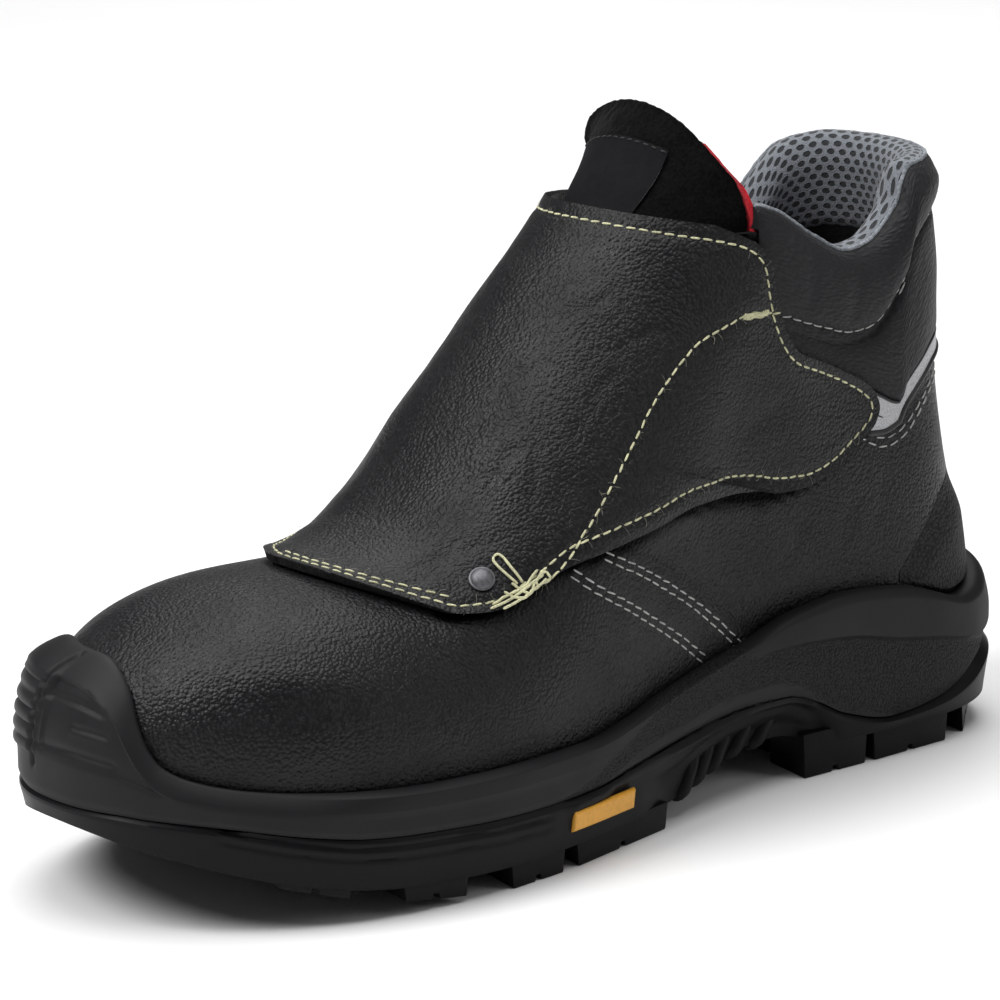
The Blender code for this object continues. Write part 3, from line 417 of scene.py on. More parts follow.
def form(u, z, side, grow=0.0):
    """Points on one upright line: u runs 0 to 1 round the heel, to 2 along the side and to 3 at the toe."""
    if 1 <= u <= 2:
        return across(HEEL_END + (TOE_TIP - TOE_REACH - HEEL_END) * (u - 1), z, side, grow)
    if u < 1:
        p = BACK.read("square", z)
        turn = (1 - u) * np.pi / 2
        s = HEEL_END - (HEEL_END - BACK.read("along", z) + grow) * np.sin(turn) ** (2 / p)
        shrink = 1.0
    else:
        p = PROFILE.read("square", TOE_TIP)
        turn = (u - 2) * np.pi / 2
        shrink = (1 - bend_in(TOE_TIP, z, grow) ** p) ** (1 / p)
        s = TOE_TIP - TOE_REACH + (TOE_REACH + grow) * shrink * np.sin(turn) ** (2 / p)
    y = width(s, z, side, grow) * shrink * max(np.cos(turn), 0.0) ** (2 / p)
    return np.stack(np.broadcast_arrays(s, PLAN.read("centre", s) + side * y, z), axis=-1).astype(float)


def turns(heel, side, toe=0, last=3.0):
    """Places of the upright lines from the back of the heel up to a last one."""
    parts = [np.linspace(0, 1, heel, endpoint=False), np.linspace(1, 2, side, endpoint=False)]
    if toe:
        parts.append(np.linspace(2, 3, toe + 1))
    found = np.concatenate(parts)
    return np.append(found[found < last - 1e-6], last)


def place_along(u):
    """Where an upright line stands along the sole's own outline, and along the leather's."""
    return form(u, FOOT, LATERAL, SOLE_GROW)[0], form(u, FOOT, LATERAL)[0]


def turn_at(s):
    """Upright line of a place along the boot's side."""
    return 1 + (s - HEEL_END) / (TOE_TIP - TOE_REACH - HEEL_END)


def throat_height(s, side):
    p = PROFILE.read("square", s)
    shoulder = PROFILE.read("shoulder", s)
    share = np.clip(THROAT.read("half", s) / width(s, SHAFT_TO, side, 0.0), 0, 1)
    return PROFILE.read("ridge", s) - shoulder + shoulder * (1 - share ** p) ** (1 / p)


def collar_top(s, side):
    return COLLAR.read("top" if side == LATERAL else "medial_top", s)


def rim_height(s, side):
    if side == MEDIAL and s > MEDIAL_RIM.key[0]:
        return MEDIAL_RIM.read("height", s)
    return SOLE.read("rim", s)


def sheet_points(table, run, span, grow):
    """Points of a sheet laid over the ridge: span runs from the medial edge (-1) to the lateral edge (1)."""
    run, span, grow = np.broadcast_arrays(run, span, grow)
    crest = table.read("crest", run)
    top = PROFILE.read("ridge", crest) + grow
    found = {}
    for side in SIDES:
        prefix = "medial_" if side < 0 and "medial_along" in table.columns else ""
        edge = table.lateral_edge if side > 0 and table.lateral_edge else table
        s = crest + (edge.read(prefix + "along", run) - crest) * span ** 2
        z = top + (edge.read(prefix + "height", run) - top) * span ** 2
        found[side] = across(s, z, side, grow)
    return np.where((span >= 0)[..., None], found[LATERAL], found[MEDIAL])


def flap_off(run, span):
    crest, edge = FLAP.read("crest_off", run), FLAP.read("edge_off", run)
    return crest + (edge - crest) * smoothstep(0.5, 1.0, np.abs(span))


def tongue_off(run, span):
    flare = TONGUE_FLARE * smoothstep(TONGUE_FLARE_FROM, 1.0, run) * np.minimum(span, 0.0) ** 2
    return TONGUE.read("off", run) + flare


def collar_end(s):
    """Share of the collar's padding, which thins out towards its front ends."""
    return 0.4 + 0.6 * np.sqrt(np.clip((COLLAR_FRONT - s) / COLLAR_END, 0, 1))


def collar_profile(s, side):
    """Section of the padded collar: up the outside, over the roll and down inside, then round its slot."""
    thick = collar_end(s)
    top = collar_top(s, side)
    slot = top - COLLAR_ROLL + 2 * GAP
    top -= COLLAR_END_DROP * (1 - thick)
    pinch, low = COLLAR.read("pinch", s), COLLAR.read("low", s)
    upper_puff, lower_puff = thick * COLLAR.read("upper_puff", s), thick * COLLAR.read("lower_puff", s)
    if s < CHEVRON.key[-1]:
        low = CHEVRON.read("high", s) + CHEVRON_CLEAR
    hug = GAP + COLLAR_EASE
    shown = (
        (hug, low),
        (0.8 * lower_puff, low + 2),
        (lower_puff, 0.5 * (low + pinch)),
        (0.7 * lower_puff, pinch - 3),
        (0.35, pinch),
        (0.75 * upper_puff, pinch + 4),
        (upper_puff, 0.45 * pinch + 0.55 * top),
        (0.7 * upper_puff, top - 4),
        (0.0, top - 0.6),
        (-4.0 * thick, top),
        (-8.0 * thick, top - 2.5),
        (-9.5 * thick, top - 9),
        (-7.5 * thick, top - 0.7 * COLLAR_INSIDE),
        (-LEATHER - hug, top - COLLAR_INSIDE),
    )
    hidden = ((-LEATHER - hug, slot), (hug, slot))
    return np.array(shown), np.array(hidden)


def sole_grow(s):
    return SOLE_GROW + HEEL_FLARE * (1 - smoothstep(FLARE_FROM, FLARE_TO, s))


# Lines and relief

def smooth_line(points, count):
    """Even points on a round curve through a few given ones."""
    points = np.asarray(points, float)
    padded = np.concatenate(([2 * points[0] - points[1]], points, [2 * points[-1] - points[-2]]))
    fine = []
    for k in range(len(points) - 1):
        a, b, c, d = padded[k:k + 4]
        t = np.linspace(0, 1, 16, endpoint=False)[:, None]
        fine.append(0.5 * (2 * b + (c - a) * t + (2 * a - 5 * b + 4 * c - d) * t ** 2
                           + (3 * b - a - 3 * c + d) * t ** 3))
    fine = np.concatenate(fine + [points[-1:]])
    return even_line(fine, count)


def lengths(line):
    """Distance of each point of a line from its start."""
    steps = np.linalg.norm(np.diff(line, axis=0), axis=1)
    return np.concatenate(([0.0], np.cumsum(steps)))


def even_line(points, count):
    at = lengths(points)
    wanted = np.linspace(0, at[-1], count)
    return np.stack([np.interp(wanted, at, column) for column in points.T], axis=-1)


def aside(line, shift):
    """A flat line, moved sideways by an even distance."""
    ahead = np.gradient(line, axis=0)
    ahead /= np.linalg.norm(ahead, axis=1)[:, None]
    return line + shift * np.stack((-ahead[:, 1], ahead[:, 0]), axis=-1)


def on_form(line, side, grow, count=40):
    """A line given by along and up, as points on the form."""
    flat = smooth_line(line, count)
    return across(flat[:, 0], flat[:, 1], side, grow)


def nearest(points, line):
    """Distance of points from a line, and how far along the line, 0 to 1, the nearest place is."""
    best = np.full(len(points), np.inf)
    share = np.zeros(len(points))
    last = len(line) - 1
    for k in range(last):
        run = line[k + 1] - line[k]
        t = np.clip((points - line[k]) @ run / max(run @ run, 1e-9), 0, 1)
        away = np.linalg.norm(points - line[k] - t[:, None] * run, axis=1)
        closer = away < best
        best = np.where(closer, away, best)
        share = np.where(closer, (k + t) / last, share)
    return best, share


def crease_relief(points, creases, grow, scale, seat):
    """Soft troughs with raised shoulders that die out at both ends."""
    lift = np.zeros(len(points))
    for side, wide, deep, line in creases:
        away, share = nearest(points, seat(on_form(line, side, grow, 24)))
        away = away / wide
        fade = np.clip(np.sin(np.pi * np.clip(share, 0.02, 0.98)) * 1.6, 0, 1)
        lift -= scale * deep * fade * (np.exp(-away ** 2) - 0.35 * np.exp(-(away / 2.2) ** 2))
    return lift


def groove(points, line, wide, deep):
    away = nearest(points, line)[0]
    return -deep * np.exp(-(away / wide) ** 2)


def hide_waves(points, size, height, seed):
    """Gentle unevenness of a hide that was pulled over a last."""
    shift = Vector((seed, -seed, 2 * seed))
    return height * np.array([noise.noise(Vector(point) / size + shift) for point in points])


def waves(*layers):
    """Relief of such unevenness alone, each layer given by its size, height and seed."""
    return lambda points, seat: sum(hide_waves(points, *layer) for layer in layers)


def inside(points, outline):
    """Which points along and up lie inside an outline."""
    x, y = points[:, 0], points[:, 2]
    found = np.zeros(len(points), bool)
    corners = np.asarray(outline, float)
    for a, b in zip(corners, np.roll(corners, -1, axis=0)):
        crosses = (a[1] > y) != (b[1] > y)
        reach = a[0] + (y - a[1]) / (b[1] - a[1] + 1e-12) * (b[0] - a[0])
        found ^= crosses & (x < reach)
    return found


# Making of meshes

def to_world(points):
    return (np.asarray(points, float) - BOX_MIDDLE) * MM


def from_world(points):
    return np.asarray(points, float) / MM + BOX_MIDDLE


def add_patch(bm, grid, finish=0, shown=True):
    """Adds a grid of points as quads, with lengths over the surface as its UV map."""
    grid = np.asarray(grid, float)
    flag = bm.verts.layers.int.get("shown") or bm.verts.layers.int.new("shown")
    sheet = bm.loops.layers.uv.get("UVMap") or bm.loops.layers.uv.new("UVMap")
    rows = lengths(grid[:, grid.shape[1] // 2]) * MM
    columns = lengths(grid[grid.shape[0] // 2]) * MM
    verts = [[bm.verts.new(point) for point in row] for row in to_world(grid)]
    for row in verts:
        for vert in row:
            vert[flag] = int(shown)
    for i in range(len(verts) - 1):
        for j in range(len(verts[0]) - 1):
            corners = ((i, j), (i, j + 1), (i + 1, j + 1), (i + 1, j))
            face = bm.faces.new([verts[a][b] for a, b in corners])
            face.material_index = finish
            for loop, (a, b) in zip(face.loops, corners):
                loop[sheet].uv = (columns[b], rows[a])


def add_shell(bm, outer, inner, edge_finish=0):
    """Closes two matching grids into a sheet with four edges."""
    outer, inner = np.asarray(outer, float), np.asarray(inner, float)
    add_patch(bm, outer)
    add_patch(bm, inner, shown=False)
    for end in (0, -1):
        add_patch(bm, [outer[end], inner[end]], edge_finish, False)
        add_patch(bm, [outer[:, end], inner[:, end]], edge_finish, False)


def add_rings(bm, rings, finish=0):
    """Joins closed rings of points and caps both ends."""
    rings = np.asarray(rings, float)
    add_patch(bm, np.concatenate([rings, rings[:, :1]], axis=1), finish)
    for ring in (rings[0], rings[-1]):
        bm.faces.new([bm.verts.new(point) for point in to_world(ring)]).material_index = finish


def add_tube(bm, path, radius, sides=8, finish=0):
    """Round cord along a path, closed at its ends."""
    path = np.asarray(path, float)
    ahead = np.gradient(path, axis=0)
    ahead /= np.linalg.norm(ahead, axis=1)[:, None]
    up = np.cross(ahead, (0.31, 0.11, 0.94))
    up /= np.linalg.norm(up, axis=1)[:, None]
    beside = np.cross(ahead, up)
    angles = np.linspace(0, 2 * np.pi, sides, endpoint=False)
    ends = np.ones(len(path))
    ends[[0, -1]] = 0.55
    rings = [
        point + radius * end * (np.outer(np.cos(angles), a) + np.outer(np.sin(angles), b))
        for point, end, a, b in zip(path, ends, up, beside)
    ]
    add_rings(bm, rings, finish)


def weld(bm, lift=None, apart=0.02):
    """Merges the patches into one closed skin, turns it outwards and raises its relief."""
    bmesh.ops.remove_doubles(bm, verts=bm.verts, dist=apart * MM)
    bmesh.ops.dissolve_degenerate(bm, edges=bm.edges, dist=apart * MM)
    bmesh.ops.recalc_face_normals(bm, faces=bm.faces)
    if lift:
        flag = bm.verts.layers.int["shown"]
        bm.normal_update()
        skin = BVHTree.FromBMesh(bm)

        def seat(line):
            return from_world([skin.find_nearest(Vector(point))[0] for point in to_world(line)])

        shown = [vert for vert in bm.verts if vert[flag]]
        moves = lift(from_world([vert.co for vert in shown]), seat)
        for vert, move in zip(shown, moves):
            vert.co += vert.normal * (move * MM)


def add_piece(name, mesh, slot, *nodes):
    """Puts a mesh in the scene, rides it on the boot and lets it stand for its CAD nodes."""
    piece = bpy.data.objects.new(name, mesh)
    bpy.context.scene.collection.objects.link(piece)
    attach(piece, "root")
    if nodes:
        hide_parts(*nodes)
    return piece


def make_piece(name, bm, finishes, slot, *nodes, sharp=48.0):
    """Makes a piece of a finished mesh, with its finishes by name."""
    mesh = bpy.data.meshes.new(name)
    bm.to_mesh(mesh)
    bm.free()
    mesh.shade_smooth()
    mesh.set_sharp_from_angle(angle=np.radians(sharp))
    for each in finishes:
        mesh.materials.append(finish(each))
    return add_piece(name, mesh, slot, *nodes)


def sheet_piece(name, faces, finishes, slot, *nodes, lift=None):
    """Closes two matching faces into a sheet and makes it a piece; a second finish goes on its cut edges."""
    bm = bmesh.new()
    add_shell(bm, *faces, len(finishes) - 1)
    weld(bm, lift)
    return make_piece(name, bm, finishes, slot, *nodes)


def join_into(bm, block):
    """Adds a finished block to a mesh."""
    mesh = bpy.data.meshes.new("block")
    block.to_mesh(mesh)
    block.free()
    bm.from_mesh(mesh)
    bpy.data.meshes.remove(mesh)


def paint(piece, name, values):
    """Stores a value for each point of a piece, for its material to read."""
    layer = piece.data.attributes.new(name, "FLOAT", "POINT")
    layer.data.foreach_set("value", np.asarray(values, np.float32))


def places(piece):
    flat = np.zeros(3 * len(piece.data.vertices), np.float32)
    piece.data.vertices.foreach_get("co", flat)
    return from_world(flat.reshape(-1, 3))


# Materials

def linear(code):
    """sRGB hex as the linear colour that shaders take."""
    parts = [int(code[k:k + 2], 16) / 255 for k in (1, 3, 5)]
    return tuple(c / 12.92 if c <= 0.04045 else ((c + 0.055) / 1.055) ** 2.4 for c in parts) + (1.0,)


def per_mm(size):
    """Scale of a pattern whose cells are this many millimetres wide."""
    return 1 / (size * MM)


def fill(socket, value):
    """Sets a socket to a value, or links it to an output or to the first output in use of a node."""
    if isinstance(value, bpy.types.Node):
        value = next(output for output in value.outputs if output.enabled)
    if isinstance(value, bpy.types.NodeSocket):
        socket.id_data.links.new(value, socket)
    else:
        socket.default_value = value


def add(tree, kind, inputs=None, **settings):
    """Adds a node: settings are its own, inputs are values, outputs or nodes by socket name or number."""
    made = tree.nodes.new(kind)
    for key, value in settings.items():
        setattr(made, key, value)
    for key, value in (inputs or {}).items():
        fill(made.inputs[key], value)
    return made


def dress(shader, **sockets):
    """Fills a shader's sockets."""
    for key, value in sockets.items():
        fill(shader.inputs[key.replace("_", " ")], value)


def start_finish(name, **sockets):
    """New material with its shader's constant sockets set, and its tree, shader and object coordinates."""
    made = bpy.data.materials.new(name)
    made.use_nodes = True
    tree = made.node_tree
    shader = tree.nodes["Principled BSDF"]
    dress(shader, **sockets)
    return made, tree, shader, add(tree, "ShaderNodeTexCoord").outputs["Object"]


def tones(*codes):
    return [linear(code) for code in codes]


def shades(name, low, high):
    """Darker and lighter shade of one of the boot's colours that a user can change."""
    base = getattr(bpy.context.scene.boot_looks, name)
    return [(*(min(share * part, 1.0) for part in base[:3]), 1.0) for share in (low, high)]


# Specular level of the polished hide, which is also all that an export keeps of it
HIDE_SHINE = 0.24


def pebbled_cowhide():
    """Full-grain cowhide, dyed black, embossed with a pebble grain and given a thin finish.

    Its gloss breaks up into specks on the pebbles, and zones of wrinkles run through it. The pebbles' tops
    are painted lighter, a painted highlight, and their hollows darker, painted shade. Under the flap's edge a
    painted shadow darkens the leather and takes away most of its shine.
    """
    made, tree, shader, place = start_finish("pebbled_cowhide", Specular_IOR_Level=HIDE_SHINE)
    dark, light = shades("hide_colour", 0.6, 1.15)
    warp = add(tree, "ShaderNodeTexNoise", {"Vector": place, "Scale": per_mm(1.9), "Detail": 2.0})
    bent = add(tree, "ShaderNodeVectorMath", {
        0: warp.outputs["Color"], 1: (0.0006,) * 3, 2: place}, operation="MULTIPLY_ADD")
    pebbles = add(tree, "ShaderNodeTexVoronoi", {"Vector": bent, "Scale": per_mm(1.0)}, feature="F1")
    wrinkles = add(tree, "ShaderNodeTexVoronoi", {
        "Vector": bent, "Scale": per_mm(2.1)}, feature="DISTANCE_TO_EDGE")
    folds = add(tree, "ShaderNodeMapRange", {
        "Value": wrinkles, "From Max": 0.14}, interpolation_type="SMOOTHSTEP")
    pores = add(tree, "ShaderNodeTexNoise", {"Vector": place, "Scale": per_mm(0.55), "Detail": 2.0})
    zones = add(tree, "ShaderNodeTexNoise", {"Vector": place, "Scale": per_mm(24.0), "Detail": 2.0})
    deep = add(tree, "ShaderNodeMapRange", {
        "Value": zones, "From Min": 0.40, "From Max": 0.62, "To Min": 0.05, "To Max": 0.4})
    cut = add(tree, "ShaderNodeMath", {0: folds, 1: deep}, operation="MULTIPLY")
    round_tops = add(tree, "ShaderNodeMath", {0: pebbles, 1: -1.0, 2: cut}, operation="MULTIPLY_ADD")
    height = add(tree, "ShaderNodeMath", {0: pores, 1: 0.4, 2: round_tops}, operation="MULTIPLY_ADD")
    # Painted highlight and shade: the pebbles' tops are lighter and their hollows darker
    tops = add(tree, "ShaderNodeMapRange", {"Value": pebbles, "From Min": 0.6, "From Max": 0.15})
    tone = add(tree, "ShaderNodeMix", {"Factor": tops, "A": dark, "B": light}, data_type="RGBA")
    # Painted shadow: below the flap's edge the leather's colour is mixed towards near black and its specular
    # level lowered
    painted_shade = add(tree, "ShaderNodeAttribute", attribute_name="under_flap").outputs["Fac"]
    shaded_tone = add(tree, "ShaderNodeMix", {
        "Factor": painted_shade, "A": tone, "B": linear("#030303")}, data_type="RGBA")
    dull = add(tree, "ShaderNodeMapRange", {"Value": painted_shade, "To Min": HIDE_SHINE, "To Max": 0.02})
    gloss = add(tree, "ShaderNodeMapRange", {
        "Value": zones, "From Min": 0.3, "From Max": 0.7, "To Min": 0.34, "To Max": 0.48})
    bump = add(tree, "ShaderNodeBump", {"Strength": 0.85, "Distance": 0.0003, "Height": height})
    dress(shader, Base_Color=shaded_tone, Specular_IOR_Level=dull, Roughness=gloss, Normal=bump)
    return made


def plain_grain(name, colours, size, deep, rough, **sockets):
    """Dull surface with an even fine grain; suede, felt, cord and thread differ in its size and depth."""
    made, tree, shader, place = start_finish(name, **sockets)
    dark, light = colours
    grain = add(tree, "ShaderNodeTexNoise", {"Vector": place, "Scale": per_mm(size), "Detail": 4.0})
    cloud = add(tree, "ShaderNodeTexNoise", {"Vector": place, "Scale": per_mm(9 * size), "Detail": 2.0})
    mixed = add(tree, "ShaderNodeMath", {0: cloud, 1: 0.6, 2: grain}, operation="MULTIPLY_ADD")
    share = add(tree, "ShaderNodeMapRange", {
        "Value": mixed, "From Min": 0.55, "From Max": 1.05}, interpolation_type="SMOOTHSTEP")
    tone = add(tree, "ShaderNodeMix", {"Factor": share, "A": dark, "B": light}, data_type="RGBA")
    worn = add(tree, "ShaderNodeMapRange", {
        "Value": cloud, "To Min": rough - 0.07, "To Max": rough + 0.07})
    bump = add(tree, "ShaderNodeBump", {"Strength": 0.6, "Distance": deep * MM, "Height": grain})
    dress(shader, Base_Color=tone, Roughness=worn, Normal=bump)
    return made


def collar_synthetic():
    """Soft polyurethane-coated cloth, embossed with a fine cross grain: even dull sheen."""
    made, tree, shader, place = start_finish(
        "collar_synthetic", Specular_IOR_Level=0.2, Sheen_Weight=0.05, Sheen_Roughness=0.5)
    flat = add(tree, "ShaderNodeUVMap", uv_map="UVMap").outputs["UV"]
    stretched = add(tree, "ShaderNodeMapping", {"Vector": flat, "Scale": (2.2, 1.0, 1.0)})
    grain = add(tree, "ShaderNodeTexVoronoi", {
        "Vector": stretched, "Scale": per_mm(1.7)}, feature="SMOOTH_F1")
    cloud = add(tree, "ShaderNodeTexNoise", {"Vector": place, "Scale": per_mm(14.0), "Detail": 3.0})
    tone = add(tree, "ShaderNodeMix", {
        "Factor": cloud, "A": linear("#161618"), "B": linear("#222225")}, data_type="RGBA")
    worn = add(tree, "ShaderNodeMapRange", {"Value": cloud, "To Min": 0.46, "To Max": 0.62})
    bump = add(tree, "ShaderNodeBump", {
        "Strength": 0.8, "Distance": 0.0004, "Height": grain}, invert=True)
    dress(shader, Base_Color=tone, Roughness=worn, Normal=bump)
    return made


def spacer_mesh():
    """Knitted polyester spacer cloth: staggered rows of open cells between pale ribs of yarn."""
    made, tree, shader, place = start_finish(
        "spacer_mesh", Specular_IOR_Level=0.3, Sheen_Weight=0.3, Roughness=0.85)
    flat = add(tree, "ShaderNodeUVMap", uv_map="UVMap").outputs["UV"]
    row, cell = 2 * np.pi * per_mm(2.3), 2 * np.pi * per_mm(4.6)
    ripples = []
    for reach in ((-row / 2, cell, 0.0), (row, 0.0, 0.0), (row / 2, cell, 0.0)):
        dot = add(tree, "ShaderNodeVectorMath", {0: flat, 1: reach}, operation="DOT_PRODUCT")
        ripples.append(add(tree, "ShaderNodeMath", {0: dot}, operation="COSINE"))
    pair = add(tree, "ShaderNodeMath", {0: ripples[0], 1: ripples[1]}, operation="ADD")
    cells = add(tree, "ShaderNodeMath", {0: pair, 1: ripples[2]}, operation="ADD")
    ribs = add(tree, "ShaderNodeMapRange", {
        "Value": cells, "From Min": 0.9, "From Max": -0.3}, interpolation_type="SMOOTHSTEP")
    yarn = add(tree, "ShaderNodeTexNoise", {"Vector": place, "Scale": per_mm(0.45), "Detail": 2.0})
    colour = add(tree, "ShaderNodeMix", {
        "Factor": yarn, "A": linear("#5c6168"), "B": linear("#8d9299")}, data_type="RGBA")
    tone = add(tree, "ShaderNodeMix", {
        "Factor": ribs, "A": linear("#25282c"), "B": colour}, data_type="RGBA")
    knit = add(tree, "ShaderNodeMath", {0: yarn, 1: 0.3, 2: ribs}, operation="MULTIPLY_ADD")
    bump = add(tree, "ShaderNodeBump", {"Strength": 0.9, "Distance": 0.0009, "Height": knit})
    dress(shader, Base_Color=tone, Normal=bump)
    return made


def moulded_sole(name, colour, shine, grit, deep, rough_smooth, rough_grit):
    """Moulded rubber or polyurethane: smooth satin walls with faint flow marks.

    Where the mould was etched (the stipple value) the skin is a dull grit.
    """
    made, tree, shader, place = start_finish(name, Specular_IOR_Level=shine)
    etched = add(tree, "ShaderNodeAttribute", attribute_name="stipple").outputs["Fac"]
    grains = add(tree, "ShaderNodeTexVoronoi", {"Vector": place, "Scale": per_mm(grit)}, feature="F1")
    cloud = add(tree, "ShaderNodeTexNoise", {"Vector": place, "Scale": per_mm(18.0), "Detail": 4.0})
    skin = add(tree, "ShaderNodeTexNoise", {"Vector": place, "Scale": per_mm(0.8), "Detail": 2.0})
    dull = add(tree, "ShaderNodeMapRange", {
        "Value": cloud, "From Min": 0.3, "From Max": 0.7,
        "To Min": rough_smooth - 0.06, "To Max": rough_smooth + 0.08})
    rough = add(tree, "ShaderNodeMix", {"Factor": etched, "A": dull, "B": rough_grit})
    smooth_tone = add(tree, "ShaderNodeMix", {
        "Factor": cloud, "A": linear(colour[0]), "B": linear(colour[1])}, data_type="RGBA")
    grit_share = add(tree, "ShaderNodeMapRange", {"Value": grains, "From Min": 0.1, "From Max": 0.7})
    grit_tone = add(tree, "ShaderNodeMix", {
        "Factor": grit_share, "A": linear(colour[3]), "B": linear(colour[2])}, data_type="RGBA")
    tone = add(tree, "ShaderNodeMix", {
        "Factor": etched, "A": smooth_tone, "B": grit_tone}, data_type="RGBA")
    pits = add(tree, "ShaderNodeMath", {0: grains, 1: etched}, operation="MULTIPLY")
    height = add(tree, "ShaderNodeMath", {0: skin, 1: -0.06, 2: pits}, operation="MULTIPLY_ADD")
    bump = add(tree, "ShaderNodeBump", {
        "Strength": 0.75, "Distance": deep * MM, "Height": height}, invert=True)
    dress(shader, Base_Color=tone, Roughness=rough, Normal=bump)
    return made


def bead_tape():
    """Retroreflective tape: glass beads in a grey binder give an even silver-grey with a fine sparkle."""
    made, tree, shader, place = start_finish(
        "bead_tape", Metallic=0.25, Specular_IOR_Level=0.6, Roughness=0.42)
    beads = add(tree, "ShaderNodeTexVoronoi", {"Vector": place, "Scale": per_mm(0.5)}, feature="F1")
    tone = add(tree, "ShaderNodeMix", {
        "Factor": beads, "A": linear("#c9c9cc"), "B": linear("#97979b")}, data_type="RGBA")
    bump = add(tree, "ShaderNodeBump", {
        "Strength": 0.4, "Distance": 0.0001, "Height": beads}, invert=True)
    dress(shader, Base_Color=tone, Normal=bump)
    return made


def gunmetal_steel():
    """Steel rivet with a dark plated finish, tumbled: soft reflections with fine scratches."""
    made, tree, shader, place = start_finish("gunmetal_steel", Metallic=1.0)
    marks = add(tree, "ShaderNodeTexNoise", {"Vector": place, "Scale": per_mm(0.7), "Detail": 5.0})
    tone = add(tree, "ShaderNodeMix", {
        "Factor": marks, "A": linear("#48484b"), "B": linear("#8a8a8e")}, data_type="RGBA")
    worn = add(tree, "ShaderNodeMapRange", {"Value": marks, "To Min": 0.45, "To Max": 0.7})
    bump = add(tree, "ShaderNodeBump", {"Strength": 0.25, "Distance": 0.0001, "Height": marks})
    dress(shader, Base_Color=tone, Roughness=worn, Normal=bump)
    return made


FINISHES = {}


def finish(name):
    """A material of the boot, made at its first use."""
    if name not in FINISHES:
        FINISHES[name] = MAKERS[name]()
    return FINISHES[name]


MAKERS = {
    "hide": pebbled_cowhide,
    # Raw edge of a hide where it was cut: matted dark fibre
    "cut_hide": lambda: plain_grain(
        "cut_hide", tones("#0c0c0d", "#222121"), 0.5, 0.3, 0.9, Specular_IOR_Level=0.1),
    # Black split suede: napped fibre that drinks light
    "suede": lambda: plain_grain(
        "napped_suede", tones("#040404", "#111111"), 0.8, 0.5, 0.95,
        Sheen_Weight=0.04, Specular_IOR_Level=0.05),
    # Needled wool felt in bright red
    "red_felt": lambda: plain_grain(
        "red_felt", shades("felt_colour", 0.6, 1.15), 0.6, 0.4, 0.92,
        Sheen_Weight=0.3, Specular_IOR_Level=0.2),
    # Needled grey felt of the footbed
    "grey_felt": lambda: plain_grain(
        "needled_felt", tones("#4b4e53", "#767a80"), 0.7, 0.4, 0.95,
        Sheen_Weight=0.3, Specular_IOR_Level=0.2),
    # Spun aramid sewing thread, yellow-green, slightly fuzzy
    "aramid": lambda: plain_grain(
        "aramid_thread", shades("thread_colour", 0.68, 1.25), 0.4, 0.15, 0.75, Sheen_Weight=0.2),
    # Bonded polyester sewing thread, off-white and greyed by handling
    "polyester": lambda: plain_grain("polyester_thread", tones("#8f8f8c", "#c4c4c0"), 0.4, 0.12, 0.6),
    # Single aramid fibres that came loose, greyed
    "fibre": lambda: plain_grain("loose_fibre", tones("#8c8a78", "#bab8a6"), 0.4, 0.05, 0.8),
    # The same thread in dark grey, and in black
    "grey_thread": lambda: plain_grain("grey_thread", tones("#5d5d5f", "#8c8c8e"), 0.4, 0.12, 0.6),
    "black_thread": lambda: plain_grain("black_thread", tones("#0c0c0d", "#1d1d1f"), 0.4, 0.12, 0.6),
    # Black coated cord round the tape
    "edging": lambda: plain_grain("edging_cord", tones("#0e0e10", "#1d1d20"), 0.9, 0.12, 0.5),
    "collar": collar_synthetic,
    "mesh": spacer_mesh,
    # Grey knitted cord that edges the lining
    "binding": lambda: plain_grain("binding_cord", tones("#5f646a", "#979ca2"), 0.8, 0.3, 0.85),
    # Plain black satin label
    "satin": lambda: plain_grain(
        "woven_satin", tones("#0d0d0f", "#17171a"), 0.35, 0.1, 0.75, Specular_IOR_Level=0.1),
    # Carbon-black nitrile rubber, compression moulded
    "rubber": lambda: moulded_sole(
        "moulded_rubber", ("#0e0e10", "#18181a", "#131315", "#1e1e21"), 0.11, 1.1, 0.25, 0.42, 0.7),
    # Black polyurethane, poured in a mould that is polished in places and etched in others
    "polyurethane": lambda: moulded_sole(
        "moulded_polyurethane", ("#101012", "#1b1b1d", "#0a0a0a", "#2b2b2c"), 0.24, 0.7, 0.7, 0.55, 0.62),
    # Black rubber counter with a coarse etched grain all over
    "counter": lambda: moulded_sole(
        "grained_rubber", ("#131315", "#1e1e20", "#0c0c0c", "#2b2b2c"), 0.24, 1.0, 0.7, 0.5, 0.62),
    "bead_tape": bead_tape,
    "steel": gunmetal_steel,
    # Amber rubber inlay, moulded
    "amber": lambda: plain_grain("amber_rubber", shades("inlay_colour", 0.93, 1.07), 1.2, 0.05, 0.42),
}


# Pieces of the boot

def upper_top(s, side, grow):
    if s >= THROAT_END:
        return PROFILE.read("ridge", s) + grow
    throat = throat_height(s, side) if s > COLLAR_FRONT else np.inf
    return min(collar_top(s, side) - COLLAR_ROLL, throat)


def upper_grid(side, grow, lines, rows):
    grid = []
    for u in lines:
        sole_s, s = place_along(u)
        low = SOLE.read("floor", sole_s) + GAP
        high = upper_top(s, side, grow)
        ease = 1 + (PROFILE.read("square", s) - 1) * smoothstep(COLLAR_FRONT, THROAT_END, s)
        grid.append(form(u, low + (high - low) * (1 - (1 - np.linspace(0, 1, rows)) ** ease), side, grow))
    return np.array(grid)


